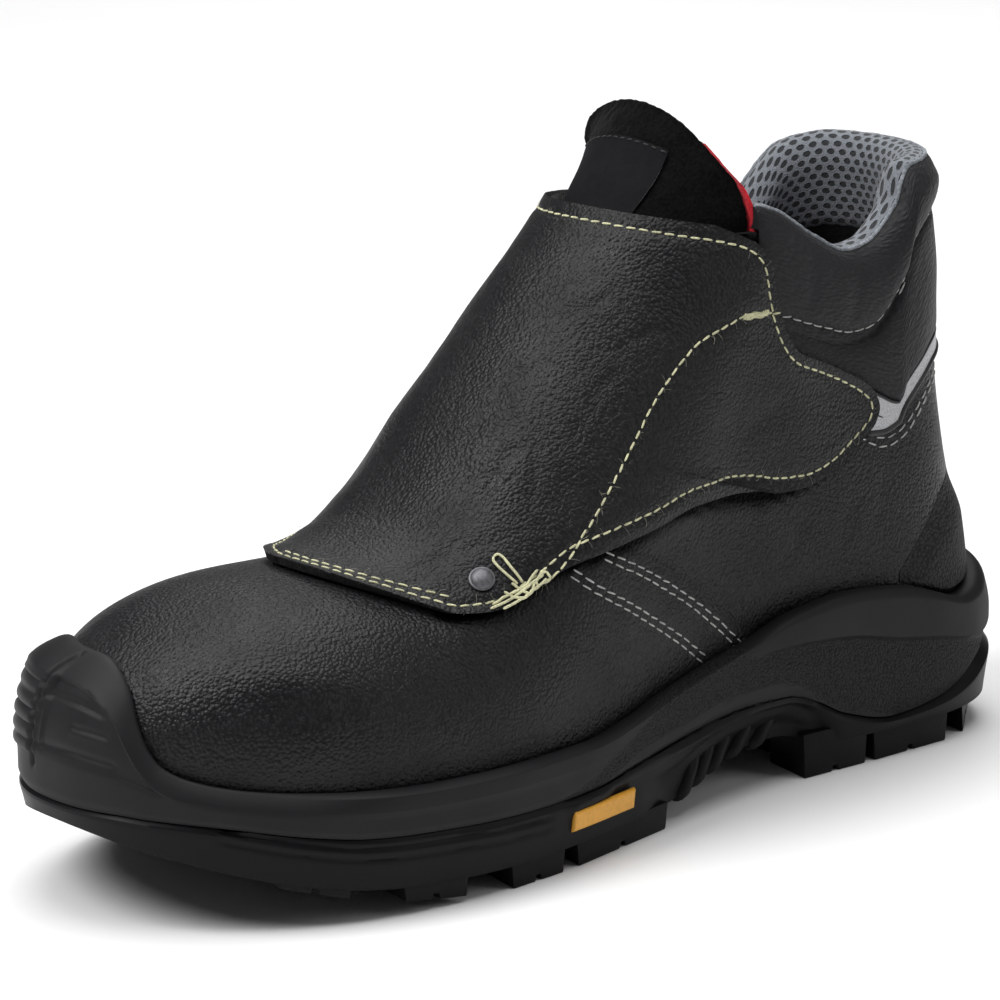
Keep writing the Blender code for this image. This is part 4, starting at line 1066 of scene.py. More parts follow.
def vamp_step(points):
    """The quarter lies lower behind the vamp's edge, and the drop dies out further back."""
    lift = np.zeros(len(points))
    for side in SIDES:
        line = on_form(VAMP_EDGE, side, 0.0, 40)
        away = nearest(points, line)[0]
        height = np.interp(points[:, 0], line[::-1, 0], line[::-1, 2])
        behind = (points[:, 2] > height) & (points[:, 1] * side > 0)
        behind &= (points[:, 0] > line[-1, 0] - VAMP_FADE) & (points[:, 0] < line[0, 0])
        drop = smoothstep(0.0, 0.9, away) * (1 - smoothstep(4.0, VAMP_FADE, away))
        lift -= VAMP_STEP * behind * drop
    return lift


def build_upper(sizes):
    lines = turns(26, 110, 56)
    open_lines = 1 + sum(place_along(u)[1] < THROAT_END for u in lines)
    bm = bmesh.new()
    for side in SIDES:
        outer = upper_grid(side, 0.0, lines, 60)
        inner = upper_grid(side, -LEATHER, lines, 12)
        add_patch(bm, outer)
        add_patch(bm, inner, shown=False)
        add_patch(bm, [outer[:, 0], inner[:, 0]], 1, False)
        add_patch(bm, [outer[:open_lines, -1], inner[:open_lines, -1]], 1, False)

    def lift(points, seat):
        found = crease_relief(points, UPPER_CREASES, 0.0, sizes.crease_depth, seat)
        found += vamp_step(points) + hide_waves(points, 22.0, 0.25, 3.1)
        for line in VAMP_ROWS:
            for side in SIDES:
                found += groove(points, on_form(line, side, 0.0, 30), 1.6, 0.3)
        return found

    weld(bm, lift)
    piece = make_piece("upper_leather", bm, ("hide", "cut_hide"), "upper_leather", "upper")
    # Painted shadow: the leather is darkened in a band along the flap's edge, wider below the tab, where the
    # flap's shade falls
    run = np.linspace(0, 1, 160)
    away, share = nearest(places(piece), sheet_points(FLAP, run, span_limit(run), 0.0))
    wide = SHADE_WIDE + SHADE_MORE * smoothstep(0.1, 0.3, share) * (1 - smoothstep(0.4, 0.52, share))
    paint(piece, "under_flap", 1 - smoothstep(0.6, 1.0, away / wide))


def equal_spans(table, run, grow, count, last):
    """Spans that part a sheet evenly from its crest to one edge, with two more close to the edge."""
    fine = np.linspace(0, last, 300)
    at = lengths(sheet_points(table, run, fine, grow))
    wanted = np.append(np.linspace(0, at[-1] - 0.9, count), (at[-1] - 0.3, at[-1]))
    return np.interp(wanted, at, np.abs(fine)) * np.sign(last)


def span_limit(run):
    """Lateral span at which the flap ends: its front and its top corner are cut round."""
    front = HEM_CORNER * np.clip(1 - run / HEM_CORNER_RUN, 0, 1) ** 2
    return 1 - front - TOP_CORNER * np.clip(1 - (1 - run) / TOP_CORNER_RUN, 0, 1) ** 2


def medial_limit(run):
    """Medial span at which the flap ends: its hem stops just past the ridge and slants back."""
    return -1 + MEDIAL_HEM * np.clip(1 - run / MEDIAL_HEM_RUN, 0, 1) ** 2


def sheet_grids(table, off, thick, runs, medial, lateral, medial_end, lateral_end):
    """Outer and inner face of a sheet over the ridge, rounded a little at its edges."""
    outer, inner = [], []
    for k, run in enumerate(runs):
        spans = np.concatenate((
            equal_spans(table, run, off(run, 0.0), medial, medial_end(run))[:0:-1],
            equal_spans(table, run, off(run, 0.0), lateral, lateral_end(run))))
        rise = off(run, spans)
        drop = np.zeros(len(spans))
        drop[[0, -1]] = EDGE_ROUND
        if k in (0, len(runs) - 1):
            drop[:] = EDGE_ROUND
        outer.append(sheet_points(table, run, spans, rise + thick - drop))
        inner.append(sheet_points(table, run, spans, rise))
    return outer, inner


def end_runs(count, close):
    return np.concatenate(([0.0, close], np.linspace(0, 1, count)[1:-1], [1 - close, 1.0]))


def build_flap(sizes):
    faces = sheet_grids(
        FLAP, flap_off, FLAP_LEATHER, end_runs(170, 0.002), 46, 100, medial_limit, span_limit)

    def lift(points, seat):
        found = crease_relief(points, FLAP_CREASES, 5.0, sizes.crease_depth, seat)
        found += hide_waves(points, 17.0, 0.3, 7.7) + hide_waves(points, 6.0, 0.08, 1.3)
        for row in flap_rows() + [on_form(PATCH_ROW, LATERAL, 5.0, 60)]:
            found += groove(points, seat(row), 1.3, 0.35)
        return found

    sheet_piece("spark_flap", faces, ("hide", "cut_hide"), "flap_leather", "flap", lift=lift)


def flap_face(run, span):
    return sheet_points(FLAP, run, span, flap_off(run, span) + FLAP_LEATHER)


def inset_row(run, span, distance, edge):
    """A row at an even distance inside the flap's edge, found by going inwards from its border."""
    share = np.linspace(0, 0.4, 48)
    face = flap_face(run[:, None] + (0.5 - run[:, None]) * share, span[:, None] * (1 - share))
    away = nearest(face.reshape(-1, 3), edge)[0].reshape(face.shape[:2])
    each = np.arange(len(run))
    after = np.maximum(np.argmax(away >= distance[:, None], axis=1), 1)
    part = (distance - away[each, after - 1]) / (away[each, after] - away[each, after - 1])
    return face[each, after - 1] + part[:, None] * (face[each, after] - face[each, after - 1])


@cache
def flap_rows():
    """Sewn rows of the flap: one all round from the middle of its top, and a second along its front hem."""
    top = np.linspace(0, 1, 50, endpoint=False)
    down = np.linspace(1, 0, 220)
    back = down[-2::-1]
    hem = np.linspace(span_limit(0.0), medial_limit(0.0), 110)[1:]
    run = np.concatenate((np.ones(50), down, np.zeros(109), back, np.ones(50)))
    span = np.concatenate((
        top * span_limit(1.0), span_limit(down), hem, medial_limit(back), -top[:0:-1], [0.0]))
    edge = flap_face(run, span)
    along_hem = (run == 0) & (np.abs(span) < HEM_ROW_END)
    low_edge = smoothstep(0.09, 0.17, run) * (1 - smoothstep(0.45, 0.55, run)) * (span > 0.5)
    top_edge = smoothstep(0.95, 1.0, run)
    inset = EDGE_ROW + (LOW_EDGE_ROW - EDGE_ROW) * low_edge + (TOP_ROW - EDGE_ROW) * top_edge
    return [
        inset_row(run, span, inset, edge),
        inset_row(run[along_hem], span[along_hem], np.full(along_hem.sum(), HEM_ROW), edge)]


def collar_section(u, side):
    shown, hidden = collar_profile(place_along(u)[1], side)
    line = np.concatenate((smooth_line(shown, 84), hidden))
    return form(u, line[:, 1], side, line[:, 0])


def collar_lines():
    return turns(44, 190, last=turn_at(COLLAR_FRONT))


def both_sides(make, lines):
    """Sections from the medial front end round the heel to the lateral front end."""
    return [make(u, MEDIAL) for u in lines[:0:-1]] + [make(u, LATERAL) for u in lines]


def lining_floor(s):
    """Lower edge of the lining, just over the footbed."""
    return SOLE.read("floor", s) + GAP + INSOLE_THICK + LINING_CLEAR


def build_collar(sizes):
    lines = collar_lines()
    bm = bmesh.new()
    add_rings(bm, both_sides(collar_section, lines))

    def lift(points, seat):
        found = crease_relief(points, COLLAR_CREASES, 3.0, sizes.crease_depth, seat)
        found += hide_waves(points, 16.0, 0.35, 5.2)
        for side in SIDES:
            row = seat(pinch_row(side, 1.0))
            away, share = nearest(points, row)
            pucker = np.sin(share * lengths(row)[-1] / sizes.stitch_pitch * MM * 2 * np.pi)
            found += (0.16 * pucker - 0.35) * np.exp(-(away / 2.0) ** 2)
        return found

    weld(bm, lift)
    collar = make_piece("padded_collar", bm, ("collar",), "collar_padding", "collar")

    def roll_top(s, side):
        return collar_top(s, side) - COLLAR_END_DROP * (1 - collar_end(s))

    def lining_line(s, side):
        top = roll_top(s, side)
        hug = GAP + COLLAR_EASE
        floor = lining_floor(s)
        roll = collar_end(s)
        return smooth_line((
            (-0.9 * roll, top - 0.2), (-2.6 * roll, top + 0.75), (-4.8 * roll, top + 0.85),
            (-7.0 * roll, top - 0.1), (-8.9 * roll, top - 2.6), (-10.3 * roll, top - 9),
            (-8.2 * roll, top - 0.7 * COLLAR_INSIDE),
            (-LEATHER - hug - 0.8, top - COLLAR_INSIDE),
            (-LEATHER - 1.3, 0.5 * (top - COLLAR_INSIDE + floor)), (-LEATHER - 1.3, floor)), 72)

    def lining_section(u, side, back):
        line = aside(lining_line(place_along(u)[1], side), back)
        return form(u, line[:, 1], side, line[:, 0])

    mesh = bmesh.new()
    faces = [both_sides(lambda u, side: lining_section(u, side, back), lines) for back in (0.0, 0.5)]
    add_shell(mesh, *faces)
    front = np.linspace(turn_at(COLLAR_FRONT), turn_at(THROAT_END - 4), 30)
    for side in SIDES:
        faces = []
        for back in (0.0, 0.6):
            grid = []
            for u in front:
                s = place_along(u)[1]
                z = np.linspace(lining_floor(s), upper_top(s, side, 0.0) - 1.5, 20)
                grid.append(form(u, z, side, -LEATHER - 1.0 + back))
            faces.append(grid)
        add_shell(mesh, *faces)
    weld(mesh)
    make_piece("collar_lining", mesh, ("mesh",), "lining_mesh")

    def binding_path(u, side):
        return form(u, roll_top(place_along(u)[1], side) - 0.15, side, -0.75)

    band = bmesh.new()
    add_tube(band, both_sides(binding_path, lines), 0.6, 10)
    weld(band, waves((0.9, 0.22, 5.9)))
    make_piece("collar_binding", band, ("binding",), "lining_mesh")


def pinch_row(side, grow):
    lines = collar_lines()
    row = [form(u, COLLAR.read("pinch", place_along(u)[1]), side, grow) for u in lines[lines > 0.52]]
    return even_line(np.array(row), 90)


def build_tongue():
    faces = sheet_grids(
        TONGUE, lambda run, span: tongue_off(run, span) - TONGUE_THICK, TONGUE_THICK, end_runs(110, 0.004),
        44, 44, lambda run: -1.0, lambda run: 1.0)
    relief = waves((14.0, 0.35, 2.2), (1.5, 0.26, 9.1))
    sheet_piece("suede_tongue", faces, ("suede",), "tongue_suede", "tongue", lift=relief)

    faces = []
    for sunk in (0.2, 1.7):
        face = []
        for run in np.linspace(0.4, 0.99, 80):
            proud = FELT_PROUD * (1 - 0.6 * smoothstep(0.9, 0.99, run))
            spans = np.concatenate((np.linspace(-0.98, 0.96, 40), np.linspace(0.98, 1.0 + proud, 12)))
            rise = FELT_TURN * smoothstep(0.995, 1.02, spans) - TONGUE_THICK - sunk
            face.append(sheet_points(TONGUE, run, spans, tongue_off(run, spans) + rise))
        faces.append(face)
    sheet_piece("tongue_felt", faces, ("red_felt",), "red_felt", lift=waves((2.0, 0.2, 4.4)))

    shares = np.linspace(0, 1, 34)
    faces = [[label_line(share, rise) for share in shares] for rise in (GAP + LABEL_THICK, GAP)]
    sheet_piece(
        "tongue_patch", faces, ("satin", "grey_thread"), "label_satin", "tongue_label",
        lift=waves((9.0, 0.3, 6.3)))


def label_line(share, rise):
    """A line across the tongue's label, from its lower end (0) to its top edge (1)."""
    run = LABEL_RUN[0] + (LABEL_RUN[1] - LABEL_RUN[0]) * share
    spans = np.linspace(LABEL_SPAN[0], LABEL_SPAN[1] * (1 - LABEL_TAPER * (1 - share)), 52)
    return sheet_points(TONGUE, run, spans, tongue_off(run, spans) + rise)


def build_heel():
    def band(last, profile):
        lines = turns(44, 220, last=turn_at(last))
        return [both_sides(lambda u, side: profile(u, side, part), lines) for part in (True, False)]

    def counter(u, side, outside):
        sole_s, s = place_along(u)
        low = rim_height(sole_s, side) + GAP
        high = max(COUNTER.read("top", s), low + COUNTER_LIP)
        z = low + (high - low) * np.append(np.linspace(0, 0.94, 18), (0.975, 1.0))
        if not outside:
            return form(u, z, side, -GAP)
        edge = smoothstep(-0.6, 13.0, high - z) * smoothstep(-0.5, 1.2, z - low)
        return form(u, z, side, 0.1 + (COUNTER.read("grow", s) - 0.1) * edge)

    piece = sheet_piece(
        "heel_counter_cover", band(COUNTER.key[-1] - 0.6, counter), ("counter",), "counter_rubber",
        "heel_counter")
    paint(piece, "stipple", np.ones(len(piece.data.vertices)))

    def strip(u, side, outside):
        s = place_along(u)[1]
        z = np.linspace(CHEVRON.read("low", s), CHEVRON.read("high", s), 9)
        return form(u, z, side, GAP + CHEVRON_THICK * outside)

    sheet_piece(
        "reflective_chevron", band(CHEVRON.key[-1] - 0.3, strip), ("bead_tape",), "reflective_tape",
        "reflective_strip")

    bm = bmesh.new()
    lines = turns(44, 220, last=turn_at(CHEVRON.key[-1] - 0.5))
    for column, shift, radius in (("low", -0.7, 0.95), ("high", 0.15, 0.6)):
        path = both_sides(
            lambda u, side: form(u, CHEVRON.read(column, place_along(u)[1]) + shift, side, 0.75), lines)
        add_tube(bm, path, radius, 10)
    for side in SIDES:
        end = on_form(((63.2, 97.4), (60, 96.8), (56.5, 95.4)), side, GAP + CHEVRON_THICK, 12)
        add_tube(bm, end, 0.22, 6)
    weld(bm)
    make_piece("chevron_edging", bm, ("edging",), "collar_padding")

    def tab(u, side, outside):
        shown = collar_profile(place_along(u)[1], side)[0][:7]
        z = np.linspace(TAB_LOW, TAB_HIGH, 40)
        seat = np.interp(z, shown[:, 1], shown[:, 0]) + GAP + 0.15
        rim = np.minimum(z - TAB_LOW, TAB_HIGH - z)
        side_rim = (TAB_TURN - u) * 55
        return form(u, z, side, seat + outside * TAB_THICK * (
            0.55 + 0.45 * smoothstep(0, 1.2, np.minimum(rim, side_rim))))

    lines = np.linspace(0, TAB_TURN, 12)
    faces = [both_sides(lambda u, side: tab(u, side, part), lines) for part in (1, 0)]
    sheet_piece(
        "back_pull_tab", faces, ("hide", "cut_hide"), "upper_leather", "back_tab",
        lift=waves((8.0, 0.15, 8.1)))


def toe_band(u, share):
    """How far the ribbed band on the medial half of the toe stands out, with its ribs up to a smooth top."""
    on = smoothstep(TOE_BAND_FROM - TOE_BAND_EDGE, TOE_BAND_FROM + TOE_BAND_EDGE, u)
    end = TOE_BAND_TO + TOE_BAND_SLANT * smoothstep(0.35, 1.0, share)
    on = on * (1 - smoothstep(end - TOE_BAND_EDGE, end + TOE_BAND_EDGE, u))
    wave = np.abs(np.sin(np.pi * TOE_RIBS * np.clip(share / TOE_RIB_TOP, 0, 1))) ** 0.45
    ribs = np.where(share < TOE_RIB_TOP, 1 - wave, 0.0)
    return on * (TOE_BAND_RISE - TOE_RIB_CUT * ribs)


def cup_section(u, side):
    """Section of the midsole's cup: up the outer wall, over the rim and down inside to the floor."""
    s = place_along(u)[0]
    split, step, swell, floor = (SOLE.read(name, s) for name in ("split", "step", "swell", "floor"))
    rim = rim_height(s, side)
    low = step + STEP_BEVEL
    clear = GAP + BUMPER_CLEAR * smoothstep(*BUMPER_TURNS, u)
    foot = split + GAP
    lower_z = np.concatenate(([foot, foot + 0.35, foot + 0.8], np.linspace(foot + 1.5, step - STEP_BEVEL, 9)))
    lower = np.interp(
        lower_z, (foot, foot + 0.2 * (step - split), step - STEP_BEVEL),
        (SOLE_GROW - CUP_FOOT_INSET, SOLE_GROW, SOLE_GROW - 0.6 * swell))
    share = np.linspace(0, 1, 44)
    wall_z = low + (rim - RIM_ROUND - low) * share
    border = 1 - smoothstep(*BORDER_WIDE, rim - wall_z)
    fore = smoothstep(*FORE_TURNS, u)
    toe = smoothstep(*TOE_TURNS, u)
    panel = smoothstep(*PANEL_TURNS, u) * (1 - border) * smoothstep(0.0, 0.12, share)
    round_off = np.clip((share - 0.8) / 0.2, 0, 1) ** 2
    lean = np.clip((wall_z - rim + LIP_TALL) / LIP_TALL, 0, 1) ** 2.2
    inward = 1.5 * (1 - toe) * round_off + (SOLE_GROW - clear - LIP_THICK) * toe * lean
    wall = SOLE_GROW + swell * (1 - 0.5 * share ** 2) - inward + BORDER_PROUD * fore * border * (1 - lean)
    if side == LATERAL or u > TOE_BAND_TO + TOE_BAND_SLANT:
        wall = wall - PANEL_SUNK * panel
    if side == MEDIAL:
        wall = wall + toe_band(u, share) * (1 - 0.8 * lean)
    lip_grow = np.linspace(wall[-1], clear, 6)[1:]
    lip_z = rim - RIM_ROUND + RIM_ROUND * np.sin(np.linspace(0, np.pi, 6)[1:])
    inner_z = np.linspace(rim - 2 * RIM_ROUND, floor, 8)
    heights = np.concatenate((lower_z, wall_z, lip_z, inner_z))
    grows = np.concatenate((lower, wall, lip_grow, np.full(8, clear)))
    return form(u, heights, side, grows)


def sole_lines():
    """Upright lines of the sole, closer beside the edges of the toe's ribbed band."""
    extra = []
    for edge in (TOE_BAND_FROM, TOE_BAND_TO):
        extra += list(edge + TOE_BAND_EDGE * np.array((-1.1, -0.5, 0.0, 0.5, 1.1)))
    return np.unique(np.concatenate((turns(40, 130, 110), extra)))


def build_midsole():
    lines = sole_lines()
    bm = bmesh.new()
    rings = {side: np.array([cup_section(u, side) for u in lines]) for side in SIDES}
    for side in SIDES:
        add_patch(bm, rings[side])
    for row in (0, -1):
        add_patch(bm, [rings[side][:, row] for side in SIDES], shown=False)

    def lift(points, seat):
        found = groove(points, seat(smooth_line(TOE_SEAM, 40)), 0.8, 1.2)
        for line in TOE_GROOVES:
            found += groove(points, seat(smooth_line(line, 24)), 0.75, 0.45)
            found -= groove(points, seat(smooth_line(line, 24) - (0, 0, 1.6)), 0.8, 0.15)
        return found

    weld(bm, lift)
    piece = make_piece("midsole_cup", bm, ("polyurethane",), "midsole_pu", "midsole", sharp=38.0)
    spots = places(piece)
    etched = inside(spots, STIPPLE).astype(float)
    outline = np.array([(s, 0.0, z) for s, z in STIPPLE + STIPPLE[:1]])
    flat = spots * (1.0, 0.0, 1.0)
    soft = 1 - smoothstep(0.0, 1.2, nearest(flat, outline)[0])
    paint(piece, "stipple", np.clip(etched * (1 - 0.5 * soft), 0, 1))


def outsole_section(u, side):
    s = place_along(u)[0]
    base, split, tuck = (SOLE.read(name, s) for name in ("base", "split", "tuck"))
    low, middle, high = (sole_grow(s) - inset for inset in WALL_INSET)
    shares = WALL_SHARE + (WALL_CHAMFER_SHARE, 1.0)
    grows = (low - tuck, middle - tuck, high - TUCK_SHARE * tuck, SOLE_GROW - WALL_INSET[2],
             SOLE_GROW - WALL_CHAMFER)
    share = np.concatenate(([0.0, 0.02], np.linspace(0.06, 0.94, 20), [0.98, 1.0]))
    grow = np.interp(share, shares, grows)
    grow[0] -= 0.5
    return form(u, base + (split - base) * share, side, grow)


def lug_block(bm, outer, inner, top):
    """A tread block drawn by its outer and inner edge (from, to, across), with a slit across its face."""
    rings = []
    middle = 0.25 * (outer[0] + outer[1] + inner[0] + inner[1])
    for start, end, y in (outer, inner):
        centre = start + (end - start) / 2
        face = (
            (start, 0.0), (centre - SIPE_WIDE / 2, 0.0), (centre - SIPE_WIDE / 3, SIPE_DEEP),
            (centre + SIPE_WIDE / 3, SIPE_DEEP), (centre + SIPE_WIDE / 2, 0.0), (end, 0.0))
        ring = [(start + LUG_DRAFT * np.sign(start - middle), y, top)]
        ring += [(s, y, TREAD.read("height", s) + rise) for s, rise in face]
        rings.append(ring + [(end + LUG_DRAFT * np.sign(end - middle), y, top)])
    add_rings(bm, rings)


def add_lugs(bm):
    for side in SIDES:
        for start, end in EDGE_LUGS:
            edge = [
                across(s, SOLE.read("base", s), side, sole_grow(s) - LUG_INSET - 0.2)[1]
                for s in (start, end)]
            top = max(SOLE.read("base", start), SOLE.read("base", end)) + LUG_ROOT
            block = bmesh.new()
            lug_block(block, (start, end, 0.0), (start + LUG_SLANT, end - LUG_SLANT, 1.0), top)
            weld(block)
            for vert in block.verts:
                spot = from_world(vert.co)
                out = np.interp(spot[0], (start, end), edge)
                vert.co.y = (out - side * LUG_DEEP * spot[1] - BOX_MIDDLE[1]) * MM
            bevel_into(bm, block)
    for start, end in MIDDLE_LUGS:
        reach = {}
        for side in SIDES:
            edge = across(start, SOLE.read("base", start), side, SOLE_GROW - LUG_INSET)[1]
            reach[side] = edge - side * (LUG_DEEP + LUG_GAP + LUG_DRAFT)
        top = min(SOLE.read("base", start), SOLE.read("base", end)) + LUG_ROOT
        block = bmesh.new()
        lug_block(block, (start, end, reach[MEDIAL]), (start, end, reach[LATERAL]), top)
        weld(block)
        bevel_into(bm, block)


def bevel_into(bm, block, wide=0.55):
    """Rounds the edges of a block and adds it to a mesh."""
    bmesh.ops.recalc_face_normals(block, faces=block.faces)
    bmesh.ops.bevel(
        block, geom=list(block.edges), offset=wide * MM, segments=2, profile=0.6, affect="EDGES",
        clamp_overlap=True)
    bmesh.ops.triangulate(block, faces=[face for face in block.faces if len(face.verts) > 4])
    join_into(bm, block)


def add_fins(bm):
    """Finger-like fins that lean up the tucked wall of the arch and end in round tips."""
    angles = np.linspace(0, 2 * np.pi, 18, endpoint=False)
    for side in SIDES:
        for start in ARCH_FINS:
            low = SOLE.read("base", start) - FIN_DROP
            rings = []
            for share in np.concatenate(([0.0, 0.02, 0.06, 0.13, 0.22], np.linspace(0.35, 1.25, 9))):
                s = start + FIN_LEAN * share
                z = low + FIN_TALL * share
                tip = np.sqrt(np.clip(1 - (1 - np.clip(share / 0.3, 0.0, 1)) ** 2, 0.02, 1))
                fade = 1 - 0.8 * smoothstep(0.7, 1.25, share)
                tuck = SOLE.read("tuck", s)
                deep = FIN_SUNK * tip + FIN_OUT * tip * fade
                middle = SOLE_GROW - WALL_INSET[1] - tuck + 0.5 * (FIN_OUT * fade - FIN_SUNK)
                ring = [
                    across(s + 0.5 * FIN_THICK * tip * np.cos(a), z, side, middle + 0.5 * deep * np.sin(a))
                    for a in angles
                ]
                rings.append(ring)
            block = bmesh.new()
            add_rings(block, rings)
            weld(block)
            join_into(bm, block)


def build_outsole():
    lines = turns(40, 130, 60)
    bm = bmesh.new()
    rings = {side: np.array([outsole_section(u, side) for u in lines]) for side in SIDES}
    for side in SIDES:
        add_patch(bm, rings[side])
    for row in (0, -1):
        ends = [rings[side][:, row] for side in SIDES]
        add_patch(bm, [ends[0] + (ends[1] - ends[0]) * t for t in np.linspace(0, 1, 9)], shown=False)

    def lift(points, seat):
        found = np.zeros(len(points))
        for side in SIDES:
            found -= groove(points, seat(on_form(WAVE_RIDGE, side, SOLE_GROW, 40)), 2.0, 1.0)
            found += groove(points, seat(on_form(WAVE_DARK, side, SOLE_GROW - 1.5, 40)), 2.2, 0.8)
            line = on_form(SOLE_GROOVE, side, SOLE_GROW, 40)
            found += groove(points, seat(line - (0, 0, 3.2)), 0.8, 0.7)
            found += groove(points, seat(line - (0, 0, 6.4)), 0.8, 0.5)
        return found

    weld(bm, lift)
    add_lugs(bm)
    add_fins(bm)
    piece = make_piece("outsole_tread", bm, ("rubber",), "outsole_rubber", "outsole", sharp=38.0)
    spots = places(piece)
    under = smoothstep(2.0, 0.5, np.abs(spots[:, 2] - SOLE.read("base", spots[:, 0])))
    paint(piece, "stipple", 0.35 * under)


def build_insole():
    """Footbed with a raised edge, so that the heel sits in a shallow cup."""
    lines = turns(36, 90, 50)
    shares = -np.cos(np.linspace(0, np.pi, 44))
    levels = []
    for rise in (INSOLE_THICK, 0.0):
        grid = []
        for u in lines:
            z = SOLE.read("floor", place_along(u)[0]) + GAP
            ends = [form(u, z, side, -LEATHER - INSOLE_CLEAR) for side in (MEDIAL, LATERAL)]
            row = ends[0] + (ends[1] - ends[0]) * 0.5 * (1 + shares)[:, None]
            row[:, 2] += (0.55 + 0.45 * np.abs(shares) ** 3) * rise
            grid.append(row)
        levels.append(np.array(grid))
    sheet_piece("felt_insole", levels, ("grey_felt",), "insole_felt", "insole")


def surface_frame(s, z, side, grow):
    """A place on the form and the outward direction there."""
    step = 0.8
    point = across(s, z, side, grow)
    ahead = across(s + step, z, side, grow) - point
    above = across(s, z + step, side, grow) - point
    out = np.cross(ahead, above)
    out /= np.linalg.norm(out)
    return point, out * np.sign(out[1] * side)


def build_trim():
    seat, out = surface_frame(RIVET_ALONG, RIVET_HEIGHT, LATERAL, RIVET_SEAT + FLAP_LEATHER - 0.1)
    turn = Vector(out).to_track_quat("Z", "Y").to_matrix().to_4x4()
    bm = bmesh.new()
    rows = []
    angles = np.linspace(0, 2 * np.pi, 41)
    for radius, rise in RIVET_PROFILE:
        rows.append(np.stack((radius * np.cos(angles), radius * np.sin(angles), np.full(41, rise)), axis=-1))
    add_patch(bm, np.array(rows) + BOX_MIDDLE)
    weld(bm, apart=0.005)
    bmesh.ops.transform(bm, matrix=Matrix.Translation(to_world(seat)) @ turn, verts=bm.verts)
    make_piece("flap_rivet", bm, ("steel",), "rivet_steel", "rivet")

    def badge(s, rise):
        z = np.linspace(BADGE_LOW, BADGE_HIGH, 15)
        base, split = SOLE.read("base", s), SOLE.read("split", s)
        wall = sole_grow(s) - np.interp((z - base) / (split - base), WALL_SHARE, WALL_INSET)
        from_end = min(s - BADGE_FROM, BADGE_TO - s)
        rim = np.minimum(np.minimum(z - BADGE_LOW, BADGE_HIGH - z), from_end)
        dome = np.sqrt(1 - (1 - np.clip(rim / 1.1, 0, 1)) ** 2)
        return across(s, z, LATERAL, wall + GAP - 0.5 * (rise == 0) + rise * dome)

    spots = np.concatenate((
        BADGE_FROM + np.array((0, 0.15, 0.4, 0.7, 1.1)), np.linspace(BADGE_FROM + 2, BADGE_TO - 2, 20),
        BADGE_TO - np.array((1.1, 0.7, 0.4, 0.15, 0))))
    faces = [[badge(s, rise) for s in spots] for rise in (BADGE_THICK, 0.0)]
    sheet_piece("sole_inlay", faces, ("amber",), "amber_rubber", "sole_badge")


# Stitching by Geometry Nodes

def new_tree(name, inputs):
    """Geometry tree with named inputs, those inputs, and points on every row at the pitch."""
    tree = bpy.data.node_groups.new(name, "GeometryNodeTree")
    tree.interface.new_socket("Geometry", in_out="INPUT", socket_type="NodeSocketGeometry")
    for label, value in inputs.items():
        socket = tree.interface.new_socket(label, in_out="INPUT", socket_type="NodeSocketFloat")
        socket.default_value = value
    tree.interface.new_socket("Geometry", in_out="OUTPUT", socket_type="NodeSocketGeometry")
    entry = add(tree, "NodeGroupInput").outputs
    line = add(tree, "GeometryNodeMeshToCurve", {"Mesh": entry["Geometry"]})
    spots = add(tree, "GeometryNodeResampleCurve", {"Curve": line, "Length": entry["Pitch"]}, mode="LENGTH")
    return tree, entry, spots


def row_rotation(tree, turn):
    """Turns an instance along its row, with its top away from the leather."""
    ahead = add(tree, "GeometryNodeInputTangent").outputs["Tangent"]
    out = add(tree, "GeometryNodeInputNamedAttribute", {"Name": "out"}, data_type="FLOAT_VECTOR")
    along = add(tree, "FunctionNodeAlignRotationToVector", {"Vector": ahead}, axis="X")
    lying = add(tree, "FunctionNodeAlignRotationToVector", {
        "Rotation": along, "Vector": out}, axis="Z", pivot_axis="X")
    spin = add(tree, "FunctionNodeAxisAngleToRotation", {"Axis": (0.0, 0.0, 1.0), "Angle": turn})
    turned = add(tree, "FunctionNodeRotateRotation", {
        "Rotation": lying, "Rotate By": spin}, rotation_space="LOCAL")
    return turned


def end_tree(tree, geometry, thread):
    whole = add(tree, "GeometryNodeRealizeInstances", {"Geometry": geometry})
    dressed = add(tree, "GeometryNodeSetMaterial", {"Geometry": whole, "Material": thread})
    add(tree, "NodeGroupOutput", {"Geometry": dressed})


